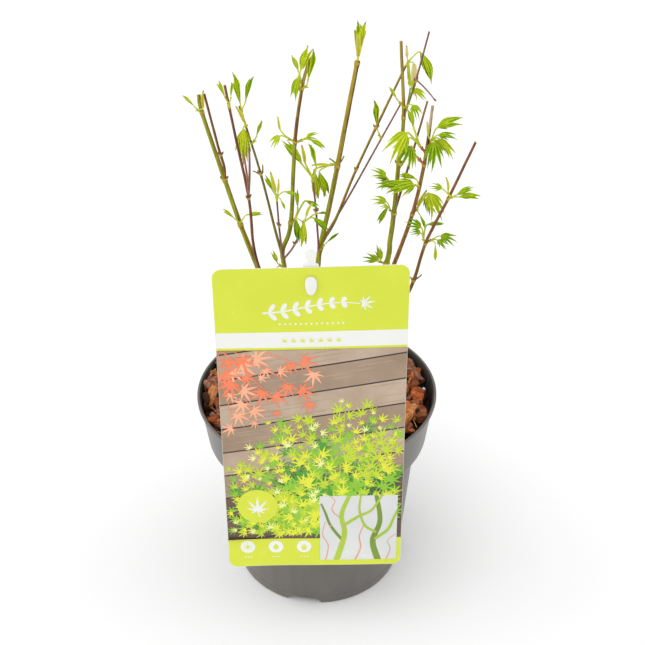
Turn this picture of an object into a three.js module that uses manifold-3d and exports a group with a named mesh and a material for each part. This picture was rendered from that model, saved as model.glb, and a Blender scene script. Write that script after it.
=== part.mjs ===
// Potted Japanese maple: a young, pruned shrub in its nursery pot, with bark mulch and a hang tag.
// Millimetres, +Z up, origin in the middle of the pot's underside. The front of the pot faces -Y.

import * as THREE from 'three';
import { mergeVertices } from 'three/addons/utils/BufferGeometryUtils.js';
import Module from 'manifold-3d';

const wasm = await Module();
wasm.setup();

// Driving dimensions

const GAP = 0.3; // kept between pieces that rest on each other
const TINY = 0.02; // mm3, below which two bodies count as clear of each other
const ROUND = 36; // facets round the pot, the compost and the mulch
const UP = new THREE.Vector3(0, 0, 1);
const GOLDEN = Math.PI * (3 - Math.sqrt(5)); // turn from one chip of a sunflower spiral to the next

const POT = {
  height: 173,
  rimRadius: 95,
  beadDepth: 3.4, // height of the rolled rim
  landWidth: 1.2, // flat top of the rim
  collarTopRadius: 93,
  collarFootRadius: 88.6,
  collarFootZ: 132.8, // where the wide collar steps in to the body
  bodyTopRadius: 80.9,
  footRadius: 70.9,
  wall: 1.5,
  floorTop: 4.2,
  floorUnder: 2.4, // underside between the middle boss and the foot ring
  bossRadius: 24,
  footRingInner: 61,
};
const DRAIN = {
  count: 4,
  firstAngle: -100.5, // degrees from +X: just left of the front
  mouthWidth: 29,
  roofWidth: 21,
  height: 6.2,
  roofThickness: 1.7,
  innerRadius: 33,
  holeRadius: 4.5,
  holeAt: 46,
};
const COMPOST = { bottom: 8.2, top: 150 };
const MULCH = {
  top: 160,
  lift: 0.9, // middle of a chip over the bed
  headroom: 12, // highest that a chip may stand over the bed
  chips: 38,
  innerRadius: 20,
  outerRadius: 76,
  length: [20, 29],
  width: [12, 17],
  thick: [4.5, 7],
  tilt: [-24, 24], // degrees
};
const CARD = { width: 128, length: 241, thick: 0.7, lean: 7.9, x: -3, z: 204.2, corner: 6.5 };
const PEG = { down: 11.9, width: 7.6, height: 12.3, thick: 2.2, shank: 2.2, shankHeight: 4, slotPlay: 0.4 };
const STAKE = {
  width: 6.5,
  thick: 1.7,
  headRadius: 3.8,
  headAbove: 9, // middle of the round head over the card's top edge
  neckAbove: 0.6,
  neckWidth: 10.4,
  neckHeight: 4,
  kneeBelow: 15, // under the peg, where it turns down into the pot
  footY: -75,
  footZ: 112,
  pointLength: 14,
  pointHalf: 0.6,
};

const TRUNK = { lean: [-4, 3], top: 184, footRadius: 12.5, flare: 9, radius: 8, topRadius: 6.6 };
const NODE = { swell: 1.3, half: 1.4 }; // ring-like joint on a stem
const STEP = 26; // longest straight stretch of a stem

// Stems: parent, height at which it leaves it, points that it bends at, tip, radius at foot and tip,
// heights of its leaf joints. Twigs are fused to their stem: height, tip and radius.
const STEMS = {
  stem_a: {
    from: 'trunk', at: 177,
    via: [[-15, 4, 191], [-42, 8, 275], [-54, 12, 311], [-64, 16.2, 346], [-76.5, 20.5, 393]],
    tip: [-78, 22, 405],
    radius: [2.7, 1.35], joints: [311, 345, 393],
  },
  stem_a_side: {
    from: 'stem_a', at: 345, via: [[-63.2, 14, 355], [-66.1, 12, 371]], tip: [-73, 12, 409],
    radius: [1.05, 0.85], joints: [365],
  },
  stem_a_inner: {
    from: 'stem_a', at: 262,
    via: [[-44, -2, 298], [-45, -13, 343], [-50.8, -22, 392]],
    tip: [-55, -28, 428], radius: [1.25, 0.85],
    joints: [344, 413], twigs: [[344, [-46, -24, 381], 0.7], [345, [-43.4, -8, 379], 0.7]],
  },
  stem_b: {
    from: 'trunk', at: 181,
    via: [[-16, -5, 230], [-22, -13, 288], [-23, -14, 304],
      [-16.8, -15, 325], [-12.3, -22, 388], [-7, -26, 425]],
    tip: [-2, -28, 444], radius: [2.6, 1], joints: [326, 388, 425],
  },
  stem_b_left: {
    from: 'stem_b', at: 300,
    via: [[-28, -10, 318], [-37, 2, 355]],
    tip: [-50, 13, 400], radius: [1.05, 0.75],
    joints: [355, 394], twigs: [[354, [-42.5, 3, 357], 0.45], [354, [-35.5, 2, 362], 0.45]],
  },
  stem_b_front: {
    from: 'stem_b', at: 299, via: [[-24.5, -24, 327]], tip: [-25, -32, 351],
    radius: [0.8, 0.65], joints: [328],
  },
  stem_b_right: {
    from: 'stem_b', at: 296, via: [[-15, -26, 313]], tip: [-8, -34, 333],
    radius: [0.8, 0.65], joints: [316],
  },
  stem_c: {
    from: 'trunk', at: 182,
    via: [[-2, 9, 218], [2, 18, 273], [3.8, 20, 287], [11.5, 23, 324], [16.6, 27, 349]],
    tip: [30.6, 36, 423],
    radius: [2.3, 1.65], joints: [287, 349, 421],
    twigs: [[350, [10.8, 26, 356], 0.6], [350, [21.5, 28, 357], 0.5]],
  },
  stem_c_left: {
    from: 'stem_c', at: 282, via: [[1, 8, 323]], tip: [-1, 0, 350],
    radius: [0.85, 0.7], joints: [323],
  },
  stem_c_long: {
    from: 'stem_c', at: 290, via: [[15.5, 24, 309], [31.6, 36, 345]], tip: [65.2, 52, 414],
    radius: [1.15, 0.85], joints: [343, 372],
  },
  stem_c_back: {
    from: 'stem_c', at: 292, via: [[25.4, 44, 317], [50.2, 60, 357]], tip: [64, 66, 381],
    radius: [0.9, 0.65], joints: [357],
  },
  stem_d: {
    from: 'trunk', at: 176,
    via: [[16, 5, 187], [36, 8, 206], [53.5, 16, 275],
      [55.8, 18, 294], [58, 20, 315], [60, 20, 354], [62, 20, 388]],
    tip: [58, 18, 441], radius: [3.1, 1],
    joints: [275, 315, 354, 388], twigs: [[388, [66, 22, 408], 0.6]],
  },
  stem_d_right: {
    from: 'stem_d', at: 314, via: [[71, 34, 356]], tip: [81, 44, 391],
    radius: [1.1, 0.75], joints: [356],
  },
  stem_d_tall: {
    from: 'stem_d', at: 388, via: [[70, 30, 409]], tip: [79, 40, 441], radius: [0.85, 0.65],
    joints: [410], twigs: [[411, [86, 44, 392], 0.5]],
  },
  stem_e: {
    from: 'stem_d', at: 236, via: [[58, 2, 283], [68, -10, 329], [73, -20, 370]], tip: [75, -30, 414],
    radius: [2, 1], joints: [329, 370, 379],
  },
  stem_f: {
    from: 'stem_d', at: 199,
    via: [[52, 3, 229], [70, -2, 263], [78, -14, 308], [90, -24, 347]],
    tip: [103, -36, 392],
    radius: [1.7, 0.85], joints: [272, 308, 347],
    twigs: [[272, [66.5, -7, 278], 0.5], [272, [78, -4, 277], 0.5]],
  },
};

// How far a leaf has unfolded: lobes, degrees between them, how deep the notches reach and
// how far its tips hang.
const KINDS = {
  bract: { lobes: 1, step: 0, notch: 0, sag: 0 },
  blade: { lobes: 2, step: 8, notch: 0.72, sag: 0 },
  folded: { lobes: 3, step: 13, notch: 0.55, sag: 0.05 },
  drooping: { lobes: 5, step: 12, notch: 0.5, sag: 0.05 },
  hanging: { lobes: 5, step: 19, notch: 0.42, sag: 0.08 },
  open: { lobes: 5, step: 31, notch: 0.34, sag: 0.1 },
};
const LOBE_SHARE = [1, 0.9, 0.64]; // length of the middle lobe, the next pair and the last pair
const LEAF = {
  thick: 0.35, // half of it, at the heart of the blade
  heart: 0.2, // place of the heart, as a share of the blade
  flank: 0.45, // reach of the blade's shoulders
  flankTurn: 9, // degrees outside the outer lobes
  bend: 1.2, // from the petiole's end to the blade
  sunk: 0.7, // how deep the petiole's root lies in the shoot
  petiole: 0.5,
  wobble: 7, // degrees
};
const FACE = new THREE.Vector3(0, -0.7, 0.7); // way that the leaves turn their upper faces
const SHOOT = { radius: 0.95, taper: 0.8, sides: 5 };
const LEAST = 0.75; // share of a leaf that its stem has to leave standing

// Leaf clusters: stem, height of the joint, bearing, rise and length of the shoot, and its leaves.
// A leaf: bearing, rise and length of its petiole, then bearing, pitch and length of its blade, and kind.
// Bearings are degrees from +X (90 is away from the front), rise and pitch are degrees above level.
const CLUSTERS = {
  leaves_a_top: ['stem_a', 393, 180, 30, 2, [
    [180, 57, 1.7, 180, 46, 11.5, 'blade'], [-45, 20, 7, 0, 86, 12, 'bract']]],
  leaves_a_mid: ['stem_a', 311, -90, 40, 3, [
    [180, 48, 4, 180, 42, 11.5, 'blade'], [0, 60, 8, 0, 4, 12.5, 'folded']]],
  leaves_a_low: ['stem_a', 232, 120, 30, 3.5, [
    [150, 30, 8, 170, -25, 15, 'hanging'], [70, 45, 8, 80, 15, 13, 'folded']]],
  leaves_a_inner_top: ['stem_a_inner', 413, -90, 60, 2.4, [
    [180, 60, 3, 180, 68, 12, 'blade'], [0, 60, 2.5, 0, 80, 11, 'blade']]],
  leaves_b_left_top: ['stem_b_left', 395, -90, 60, 2.4, [
    [180, 84, 3, 180, 82, 22, 'blade'], [0, 62, 6, 0, 76, 18, 'blade']]],
  leaves_b_left_hang: ['stem_b_left', 388, -80, 10, 3, [
    [-120, 0, 3.4, -100, -80, 26, 'drooping'], [180, 60, 1.6, 180, 68, 12, 'bract']]],
  leaves_b_left_mid: ['stem_b_left', 375, 0, 50, 2.4, [[0, 60, 2, 0, 68, 13, 'blade']]],
  leaves_b_front: ['stem_b_front', 351, -90, 70, 2.4, [
    [180, 60, 3, 180, 64, 13, 'blade'],
    [200, 80, 3, 190, 80, 14, 'bract'], [-30, 70, 3, -10, 84, 9, 'bract'],
    [0, 45, 6, 0, -15, 9, 'folded'], [-60, 20, 4, -40, -55, 8, 'blade']]],
  leaves_b_right: ['stem_b_right', 333, -60, 70, 2.4, [
    [180, 40, 7, -60, -76, 17, 'folded'],
    [-70, 60, 4, -120, -80, 19, 'folded'], [0, 70, 4, 0, 68, 11, 'bract'],
    [0, 40, 7, 0, -42, 15, 'folded'], [20, 35, 9, 10, 0, 9, 'blade']]],
  leaves_b_base: ['stem_b', 289, 180, 30, 2.4, [
    [180, 40, 2.6, 180, 74, 11, 'folded'], [200, 0, 2, 190, -62, 10, 'folded']]],
  leaves_b_low: ['stem_b', 326, -30, 40, 3, [
    [-20, 72, 8.5, 180, 88, 14, 'blade'], [0, 66, 17, 0, -32, 12, 'folded']]],
  leaves_b_hidden: ['stem_b', 246, -160, 20, 3.5, [
    [180, 30, 9, 180, -35, 15, 'hanging'], [-120, 40, 6, -120, 0, 12, 'folded']]],
  leaves_b_mid_left: ['stem_b', 388, 180, 25, 3, [
    [180, 45, 8, 180, 78, 9, 'bract'], [185, 35, 6, 190, -42, 11, 'hanging']]],
  leaves_b_mid_right: ['stem_b', 387, 0, 25, 3, [
    [0, 30, 3, -10, 20, 10, 'hanging'], [-20, 20, 6, -10, -26, 12, 'folded']]],
  leaves_b_top: ['stem_b', 425, -141, 78, 7.8, [
    [-74, 57, 2.8, -25, 70, 19, 'folded'], [115, 55, 1.9, 164, 68, 11, 'folded'],
    [-108, 11, 2.7, -149, -76, 15, 'drooping']]],
  leaves_b_top_right: ['stem_b', 425, -24, 24, 2.2, [[-10, 72, 3, -4, 78, 20, 'blade']]],
  leaves_c_left_tip: ['stem_c_left', 350, -90, 75, 2.4, [
    [180, 54, 12, 180, 57, 22, 'folded'], [180, 64, 11.5, 180, 78, 13, 'bract'],
    [0, 66, 7, 180, 76, 19, 'blade']]],
  leaves_c_fork: ['stem_c', 287, -50, 45, 2.6, [[0, 40, 2, 0, 42, 13, 'blade']]],
  leaves_c_low: ['stem_c', 238, 75, 30, 3.5, [
    [60, 30, 9, 60, -30, 16, 'hanging'], [130, 50, 7, 120, 30, 13, 'folded']]],
  leaves_c_mid: ['stem_c', 351, 190, 0, 3, [
    [180, -12, 13, 0, -84, 25, 'folded'], [190, -20, 10, 0, -74, 22, 'folded'],
    [180, 10, 2.4, 180, -6, 11, 'bract']]],
  leaves_c_top: ['stem_c', 423, 60, 80, 2.4, [
    [150, 76, 2, 0, 89, 21, 'blade'], [0, 70, 2.6, 0, 84, 21, 'blade'],
    [-80, 70, 2, -70, 84, 16, 'bract']]],
  leaves_c_long_tip: ['stem_c_long', 414, 0, 60, 2.4, [
    [160, 70, 2.4, 180, 82, 8, 'bract'], [0, 48, 11, 0, -65, 25, 'folded'],
    [-10, 0, 4, -40, -84, 16, 'bract'], [-30, -80, 19, 0, -32, 14, 'hanging']]],
  leaves_c_back_mid: ['stem_c_back', 357, 180, 60, 2.4, [[180, 72, 6, 180, 84, 21, 'blade']]],
  leaves_d_low: ['stem_d', 228, 100, 25, 3.5, [
    [110, 30, 9, 110, -20, 16, 'hanging'], [40, 45, 8, 40, 20, 13, 'folded']]],
  leaves_d_base: ['stem_d', 275, 180, 20, 2.8, [
    [180, 10, 3, 180, 24, 13, 'hanging'], [185, 60, 3, 180, 82, 13, 'drooping']]],
  leaves_d_joint: ['stem_d', 315, 180, 40, 2.2, [
    [190, 70, 4, 190, -58, 15, 'folded'], [170, 72, 7, 180, 16, 13, 'hanging']]],
  leaves_d_upper: ['stem_d', 335, -140, 30, 3, [
    [180, 60, 8.5, 180, 30, 14, 'hanging'], [-40, 24, 12, 180, 0, 20, 'drooping'],
    [150, 20, 4, 150, -8, 11, 'open']]],
  leaves_d_top: ['stem_d', 396, 180, 45, 2.4, [[180, 45, 2, 180, 55, 11, 'blade']]],
  leaves_d_curl: ['stem_d', 395, -60, 30, 2.6, [[-40, 40, 5, -30, -50, 12, 'hanging']]],
  leaves_e_upper_left: ['stem_e', 379, -167, 50, 6.4, [
    [-166, 53, 14, -151, -46, 23, 'hanging'], [155, 68, 12.5, 153, 70, 14, 'folded']]],
  leaves_e_lower_left: ['stem_e', 370, -170, 49, 8, [[-150, 66, 10, -140, -58, 17, 'hanging']]],
  leaves_e_mid_left: ['stem_e', 350, -103, 51, 4, [
    [-156, 39, 3.1, -167, -2, 20, 'hanging'], [94, 27, 5.6, 165, 14, 13, 'folded']]],
  leaves_e_upper_right: ['stem_e', 383, -49, 59, 5.4, [
    [-52, 40, 3.3, -83, -75, 20, 'hanging'], [16, 39, 4.7, -15, -46, 18, 'drooping'],
    [51, 63, 8.6, 8, 20, 20, 'drooping'], [-139, 54, 5.2, -144, 72, 10, 'bract']]],
  leaves_e_mid_right: ['stem_e', 329, 0, 50, 3, [
    [0, 62, 16, -34, -60, 22, 'hanging'], [10, 70, 2, 0, 72, 13, 'bract'],
    [-60, -10, 3, -50, -50, 11, 'blade']]],
  leaves_f_low_left: ['stem_f', 308, 180, 60, 2.6, [
    [170, 84, 9, 180, 28, 14, 'hanging'], [60, 80, 11, 0, 4, 13, 'folded']]],
  leaves_f_low_right: ['stem_f', 308, 0, 35, 2.8, [
    [0, 35, 7, 0, -16, 15, 'hanging'], [-50, 15, 5, -60, -84, 14, 'blade']]],
  leaves_f_mid: ['stem_f', 347, -60, 40, 2.6, [
    [0, 20, 3, 0, 30, 13, 'folded'], [-10, 5, 4, 0, 4, 16, 'folded'],
    [180, 60, 4, 180, 84, 10, 'bract'], [185, 50, 8, 180, 18, 10, 'hanging']]],
};

// Small helpers

const rad = THREE.MathUtils.degToRad;
const vec = ([x, y, z]) => new THREE.Vector3(x, y, z);
const toward = (bearing, rise) => new THREE.Vector3(1, 0, 0)
  .applyAxisAngle(new THREE.Vector3(0, -1, 0), rad(rise))
  .applyAxisAngle(UP, rad(bearing));

// Repeatable number between 0 and 1 for a whole number.
function chance(k) {
  const v = Math.sin(k * 12.9898 + 4.1) * 43758.5453;
  return v - Math.floor(v);
}
const between = ([low, high], k) => low + (high - low) * chance(k);

// Solids in and out of three.js geometry

function solid(geometry) {
  geometry.deleteAttribute('normal');
  geometry.deleteAttribute('uv');
  const merged = mergeVertices(geometry, 1e-4);
  return new wasm.Manifold(new wasm.Mesh({
    numProp: 3,
    vertProperties: new Float32Array(merged.attributes.position.array),
    triVerts: new Uint32Array(merged.index.array),
  }));
}

function geometryOf(body) {
  const { vertProperties, triVerts } = body.getMesh();
  const geometry = new THREE.BufferGeometry();
  geometry.setAttribute('position', new THREE.BufferAttribute(new Float32Array(vertProperties), 3));
  geometry.setIndex(new THREE.BufferAttribute(new Uint32Array(triVerts), 1));
  geometry.computeVertexNormals();
  return geometry;
}

function meshOf(position, index) {
  const geometry = new THREE.BufferGeometry();
  geometry.setAttribute('position', new THREE.Float32BufferAttribute(position, 3));
  geometry.setIndex(index);
  return geometry;
}

const joined = (bodies) => bodies.reduce((whole, body) => whole.add(body));

// The largest part of a body, without scraps that a cut left loose.
const largest = (body) => body.decompose().sort((a, b) => b.volume() - a.volume())[0];

// Surface of revolution about Z of a closed profile [radius, height].
function turned(profile, segments = ROUND) {
  const points = profile.map(([r, z]) => new THREE.Vector2(r, z));
  return solid(new THREE.LatheGeometry(points, segments).rotateX(Math.PI / 2));
}

// Extrusion of an outline [x, y] by a depth along +Z.
function prism(outline, depth) {
  const shape = new THREE.Shape(outline.map(([x, y]) => new THREE.Vector2(x, y)));
  return new THREE.ExtrudeGeometry(shape, { depth, bevelEnabled: false });
}

// Closed tube: a ring of equal facets round each point of the path, with flat ends.
function tube(path, radii, sides) {
  const last = path.length - 1;
  const position = [];
  const index = [];
  const whole = path[last].clone().sub(path[0]).normalize();
  let across = Math.abs(whole.z) > 0.6 ? new THREE.Vector3(1, 0, 0) : UP.clone();
  path.forEach((point, i) => {
    const along = path[Math.min(i + 1, last)].clone().sub(path[Math.max(i - 1, 0)]).normalize();
    across = across.clone().addScaledVector(along, -across.dot(along)).normalize();
    const third = new THREE.Vector3().crossVectors(along, across);
    for (let s = 0; s < sides; s += 1) {
      const a = (2 * Math.PI * s) / sides;
      const ring = point.clone()
        .addScaledVector(across, radii[i] * Math.cos(a))
        .addScaledVector(third, radii[i] * Math.sin(a));
      position.push(ring.x, ring.y, ring.z);
    }
  });
  for (let i = 0; i < last; i += 1) {
    for (let s = 0; s < sides; s += 1) {
      const [a, b] = [i * sides + s, i * sides + ((s + 1) % sides)];
      index.push(a, b, b + sides, a, b + sides, a + sides);
    }
  }
  for (let s = 1; s < sides - 1; s += 1) {
    index.push(0, s + 1, s, last * sides, last * sides + s, last * sides + s + 1);
  }
  return meshOf(position, index);
}

// Stems

// Smooth line through the points (uniform Catmull-Rom, ends reflected), 12 steps a stretch.
function smooth(points) {
  const last = points.length - 1;
  const reflect = (a, b) => a.clone().multiplyScalar(2).sub(b);
  const all = [reflect(points[0], points[1]), ...points, reflect(points[last], points[last - 1])];
  const line = [];
  for (let i = 0; i < last; i += 1) {
    const [p, q, r, s] = all.slice(i, i + 4);
    const slope = r.clone().sub(p);
    const curve = p.clone().multiplyScalar(2).addScaledVector(q, -5).addScaledVector(r, 4).sub(s);
    const twist = q.clone().multiplyScalar(3).sub(p).addScaledVector(r, -3).add(s);
    for (let k = 0; k < 12; k += 1) {
      const t = k / 12;
      line.push(q.clone()
        .addScaledVector(slope, t / 2)
        .addScaledVector(curve, (t * t) / 2)
        .addScaledVector(twist, (t * t * t) / 2));
    }
  }
  line.push(points[last].clone());
  return line;
}

// Point of a line at a height, between the two samples round it.
function atHeight(line, z) {
  const i = line.findIndex((point) => point.z >= z);
  if (i < 1) return (i === 0 ? line[0] : line[line.length - 1]).clone();
  return line[i - 1].clone().lerp(line[i], (z - line[i - 1].z) / (line[i].z - line[i - 1].z));
}

const centreLines = {};

// Stem as one tapering tube that swells at its joints, with its twigs; `grow` fattens it on all sides.
function stemSolid(name, grow = 0) {
  const { radius: [foot, tip], joints, twigs = [] } = STEMS[name];
  const line = centreLines[name];
  const [low, high] = [line[0].z, line[line.length - 1].z];
  const heights = new Set([low, high]);
  const steps = Math.ceil((high - low) / STEP);
  for (let i = 1; i < steps; i += 1) heights.add(low + ((high - low) * i) / steps);
  for (const z of joints) for (const offset of [-NODE.half, 0, NODE.half]) heights.add(z + offset);
  const zs = [...heights].filter((z) => z >= low && z <= high).sort((a, b) => a - b)
    .filter((z, i, all) => i === 0 || z - all[i - 1] > 0.8);
  const path = zs.map((z) => atHeight(line, z));
  const radii = zs.map((z) => {
    const plain = foot + (tip - foot) * ((z - low) / (high - low)) ** 0.7;
    return plain * (joints.some((joint) => Math.abs(z - joint) < 0.1) ? NODE.swell : 1) + grow;
  });
  const end = path[path.length - 1];
  end.addScaledVector(end.clone().sub(path[path.length - 2]).normalize(), grow);
  const sides = foot > 1.6 ? 7 : 5;
  const parts = [solid(tube(path, radii, sides))];
  for (const [z, to, r] of twigs) {
    const start = atHeight(line, z);
    const stop = vec(to);
    const reach = stop.clone().sub(start).normalize();
    parts.push(solid(tube([start, stop.addScaledVector(reach, grow)], [r * 1.25 + grow, r + grow], 5)));
  }
  return joined(parts);
}

// Trunk: a leaning butt with a root flare, flat underneath, closing to a blunt crown where it forks.
function trunkSolid(grow = 0) {
  const { lean: [x, y], top, footRadius, flare, radius, topRadius } = TRUNK;
  const foot = COMPOST.top + GAP;
  const straight = 2.5; // upright first ring, so that the cut is flat
  const rings = [
    [foot, footRadius], [foot + straight, footRadius - 2.4], [foot + flare, radius],
    [top - 5, topRadius], [top, topRadius * 0.86], [top + 3, topRadius * 0.45]];
  const path = rings.map(([z]) => {
    const share = Math.max(0, z - foot - straight) / (top - foot);
    return new THREE.Vector3(x * share, y * share, z);
  });
  path[0].z -= grow;
  path[path.length - 1].z += grow;
  centreLines.trunk ??= path;
  return solid(tube(path, rings.map(([, r]) => r + 2 * grow), 11)); // twice, because the flare is steep
}

// Leaves

// Outline of a blade from one flank round the points of its lobes to the other.
function bladeOutline(palm, along, normal, length, kind, seed, grow) {
  const { lobes, step, notch, sag } = KINDS[kind];
  const last = lobes - 1;
  const place = Array.from({ length: lobes }, (_, i) => i - last / 2);
  const turns = place.map((k, i) => k * step + (chance(seed * 7 + i) - 0.5) * LEAF.wobble);
  const lengths = place.map((k, i) => length * (lobes === 2 ? 1 - 0.12 * i : LOBE_SHARE[Math.abs(k)]));
  const point = (turn, r) => palm.clone()
    .addScaledVector(along.clone().applyAxisAngle(normal, rad(turn)), r + grow)
    .addScaledVector(UP, -sag * r);
  const flank = LEAF.flankTurn + grow * 6;
  const outline = [point(turns[0] - flank, lengths[0] * LEAF.flank)];
  for (let i = 0; i < lobes; i += 1) {
    outline.push(point(turns[i], lengths[i]));
    if (i === last) continue;
    outline.push(point((turns[i] + turns[i + 1]) / 2, Math.min(lengths[i], lengths[i + 1]) * notch));
  }
  outline.push(point(turns[last] + flank, lengths[last] * LEAF.flank));
  return outline;
}

// Leaf: a four-sided petiole from `start` whose last ring opens into a thin star of lobes.
function leafSolid(start, [bearing, rise, reach, faceBearing, pitch, length, kind], seed, grow = 0) {
  const out = toward(bearing, rise);
  const along = toward(faceBearing, pitch);
  const normal = FACE.clone().addScaledVector(along, -FACE.dot(along)).normalize();
  const side = new THREE.Vector3().crossVectors(normal, along);
  const root = start.clone().addScaledVector(out, reach);
  const palm = root.clone().addScaledVector(along, LEAF.bend);
  const points = [];
  const sunk = start.clone().addScaledVector(out, -LEAF.sunk);
  const elbow = out.clone().add(along).normalize();
  const reachOut = LEAF.petiole + grow;
  for (const [point, way] of [[sunk, out], [root, elbow], [palm, along]]) {
    const turn = new THREE.Quaternion().setFromUnitVectors(along, way);
    for (const [edge, sign] of [[side, 1], [normal, 1], [side, -1], [normal, -1]]) {
      points.push(point.clone().addScaledVector(edge.clone().applyQuaternion(turn), sign * reachOut));
    }
  }
  const index = [0, 2, 1, 0, 3, 2];
  for (const ring of [0, 4]) {
    for (let i = 0; i < 4; i += 1) {
      const [a, b] = [ring + i, ring + ((i + 1) % 4)];
      index.push(a, b, b + 4, a, b + 4, a + 4);
    }
  }
  const [right, top, left, under] = [8, 9, 10, 11];
  const outline = bladeOutline(palm, along, normal, length, kind, seed, grow);
  const rim = [left, ...outline.map((_, i) => points.length + i), right];
  points.push(...outline);
  const heart = palm.clone().addScaledVector(along, length * LEAF.heart);
  for (const [edge, sign] of [[top, 1], [under, -1]]) {
    const loop = [...rim, edge];
    loop.forEach((a, i) => {
      const b = loop[(i + 1) % loop.length];
      index.push(...(sign > 0 ? [a, b, points.length] : [b, a, points.length]));
    });
    points.push(heart.clone().addScaledVector(normal, sign * (LEAF.thick + grow)));
  }
  return solid(meshOf(points.flatMap((p) => p.toArray()), index));
}

// Clusters grow one after the other: a leaf that would touch a stem or another cluster is skipped.
function growClusters(fatStems) {
  const grown = {};
  let taken = joined(Object.values(fatStems));
  Object.entries(CLUSTERS).forEach(([name, [stem, z, bearing, rise, length, leaves]], c) => {
    const start = atHeight(centreLines[stem], z);
    const own = fatStems[stem];
    const tip = start.clone().addScaledVector(toward(bearing, rise), length + STEMS[stem].radius[1]);
    const shoot = tube([start, tip], [SHOOT.radius, SHOOT.radius * SHOOT.taper], SHOOT.sides);
    let body = largest(solid(shoot).subtract(own));
    leaves.forEach((leaf, i) => {
      const fat = leafSolid(tip, leaf, c * 10 + i, GAP).subtract(own);
      const whole = leafSolid(tip, leaf, c * 10 + i);
      const left = whole.subtract(own);
      const more = body.add(left);
      const clear = fat.intersect(taken).volume() < TINY;
      const sound = left.volume() > LEAST * whole.volume() && more.decompose().length === 1;
      if (clear && sound) body = more;
    });
    grown[name] = body;
    taken = taken.add(body);
  });
  return grown;
}

// Pot

function potSolid() {
  const p = POT;
  const bead = p.height - p.beadDepth;
  const inner = (r) => r - p.wall;
  const profile = [
    [0, 0], [p.bossRadius, 0], [p.bossRadius + 1.6, p.floorUnder],
    [p.footRingInner, p.floorUnder], [p.footRingInner + 1.6, 0],
    [p.footRadius - 1.9, 0], [p.footRadius - 0.5, 0.6], [p.footRadius, 2],
    [p.bodyTopRadius, p.collarFootZ - 0.6], [p.collarFootRadius - 0.7, p.collarFootZ],
    [p.collarFootRadius, p.collarFootZ + 0.8],
    [p.collarTopRadius, bead - 1], [p.rimRadius - 0.9, bead], [p.rimRadius, bead + 1.2],
    [p.rimRadius, p.height - 1.3], [p.rimRadius - 0.6, p.height - 0.3], [p.rimRadius - 1.4, p.height],
    [p.rimRadius - 1.4 - p.landWidth, p.height], [inner(p.collarTopRadius), p.height - 1.2],
    [inner(p.collarTopRadius), bead - 1], [inner(p.collarFootRadius), p.collarFootZ + p.wall + 0.6],
    [inner(p.bodyTopRadius), p.collarFootZ + p.wall - 0.2], [inner(p.footRadius) - 0.1, p.floorTop + 3.5],
    [inner(p.footRadius) - 3.5, p.floorTop], [0, p.floorTop],
  ];
  let pot = turned(profile);
  const d = DRAIN;
  const under = (grow) => [
    [-d.mouthWidth / 2 - grow, -1], [d.mouthWidth / 2 + grow, -1],
    [d.roofWidth / 2 + grow, d.height + grow], [-d.roofWidth / 2 - grow, d.height + grow]];
  const core = turned([[0, 1], [inner(p.footRadius) + 0.8, 1], [inner(p.footRadius) + 0.8, 20], [0, 20]]);
  for (let i = 0; i < d.count; i += 1) {
    const angle = rad(d.firstAngle + (360 / d.count) * i);
    const place = (geometry) => solid(geometry.rotateX(Math.PI / 2).rotateZ(Math.PI / 2).rotateZ(angle));
    const roof = place(prism(under(d.roofThickness), p.rimRadius).translate(0, 0, d.innerRadius));
    pot = pot.add(roof.intersect(core));
    const channel = place(prism(under(0), p.rimRadius).translate(0, 0, d.innerRadius + d.roofThickness));
    const hole = new THREE.CylinderGeometry(d.holeRadius, d.holeRadius, 20, 12).rotateX(Math.PI / 2)
      .translate(d.holeAt * Math.cos(angle), d.holeAt * Math.sin(angle), 0);
    pot = pot.subtract(channel).subtract(solid(hole));
  }
  return pot;
}

// Compost fills the pot up to the mulch, one gap clear of the wall.
function compostSolid() {
  const p = POT;
  const slope = (p.bodyTopRadius - p.footRadius) / (p.collarFootZ - 2.6);
  const wallAt = (z) => p.footRadius - p.wall - GAP + slope * (z - 2);
  const waist = wallAt(p.collarFootZ - 1);
  return turned([
    [0, COMPOST.bottom], [wallAt(COMPOST.bottom) - 0.4, COMPOST.bottom],
    [waist, p.collarFootZ - 1], [waist, p.collarFootZ + 3],
    [collarInside(p.collarFootZ + 6), p.collarFootZ + 6],
    [collarInside(COMPOST.top), COMPOST.top], [0, COMPOST.top]]);
}

// Radius that stays one gap clear of the collar's inside at a height.
function collarInside(z) {
  const p = POT;
  const share = (z - p.collarFootZ - 0.8) / (p.height - p.beadDepth - p.collarFootZ - 1.8);
  return p.collarFootRadius + (p.collarTopRadius - p.collarFootRadius) * share - p.wall - GAP;
}

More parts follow.
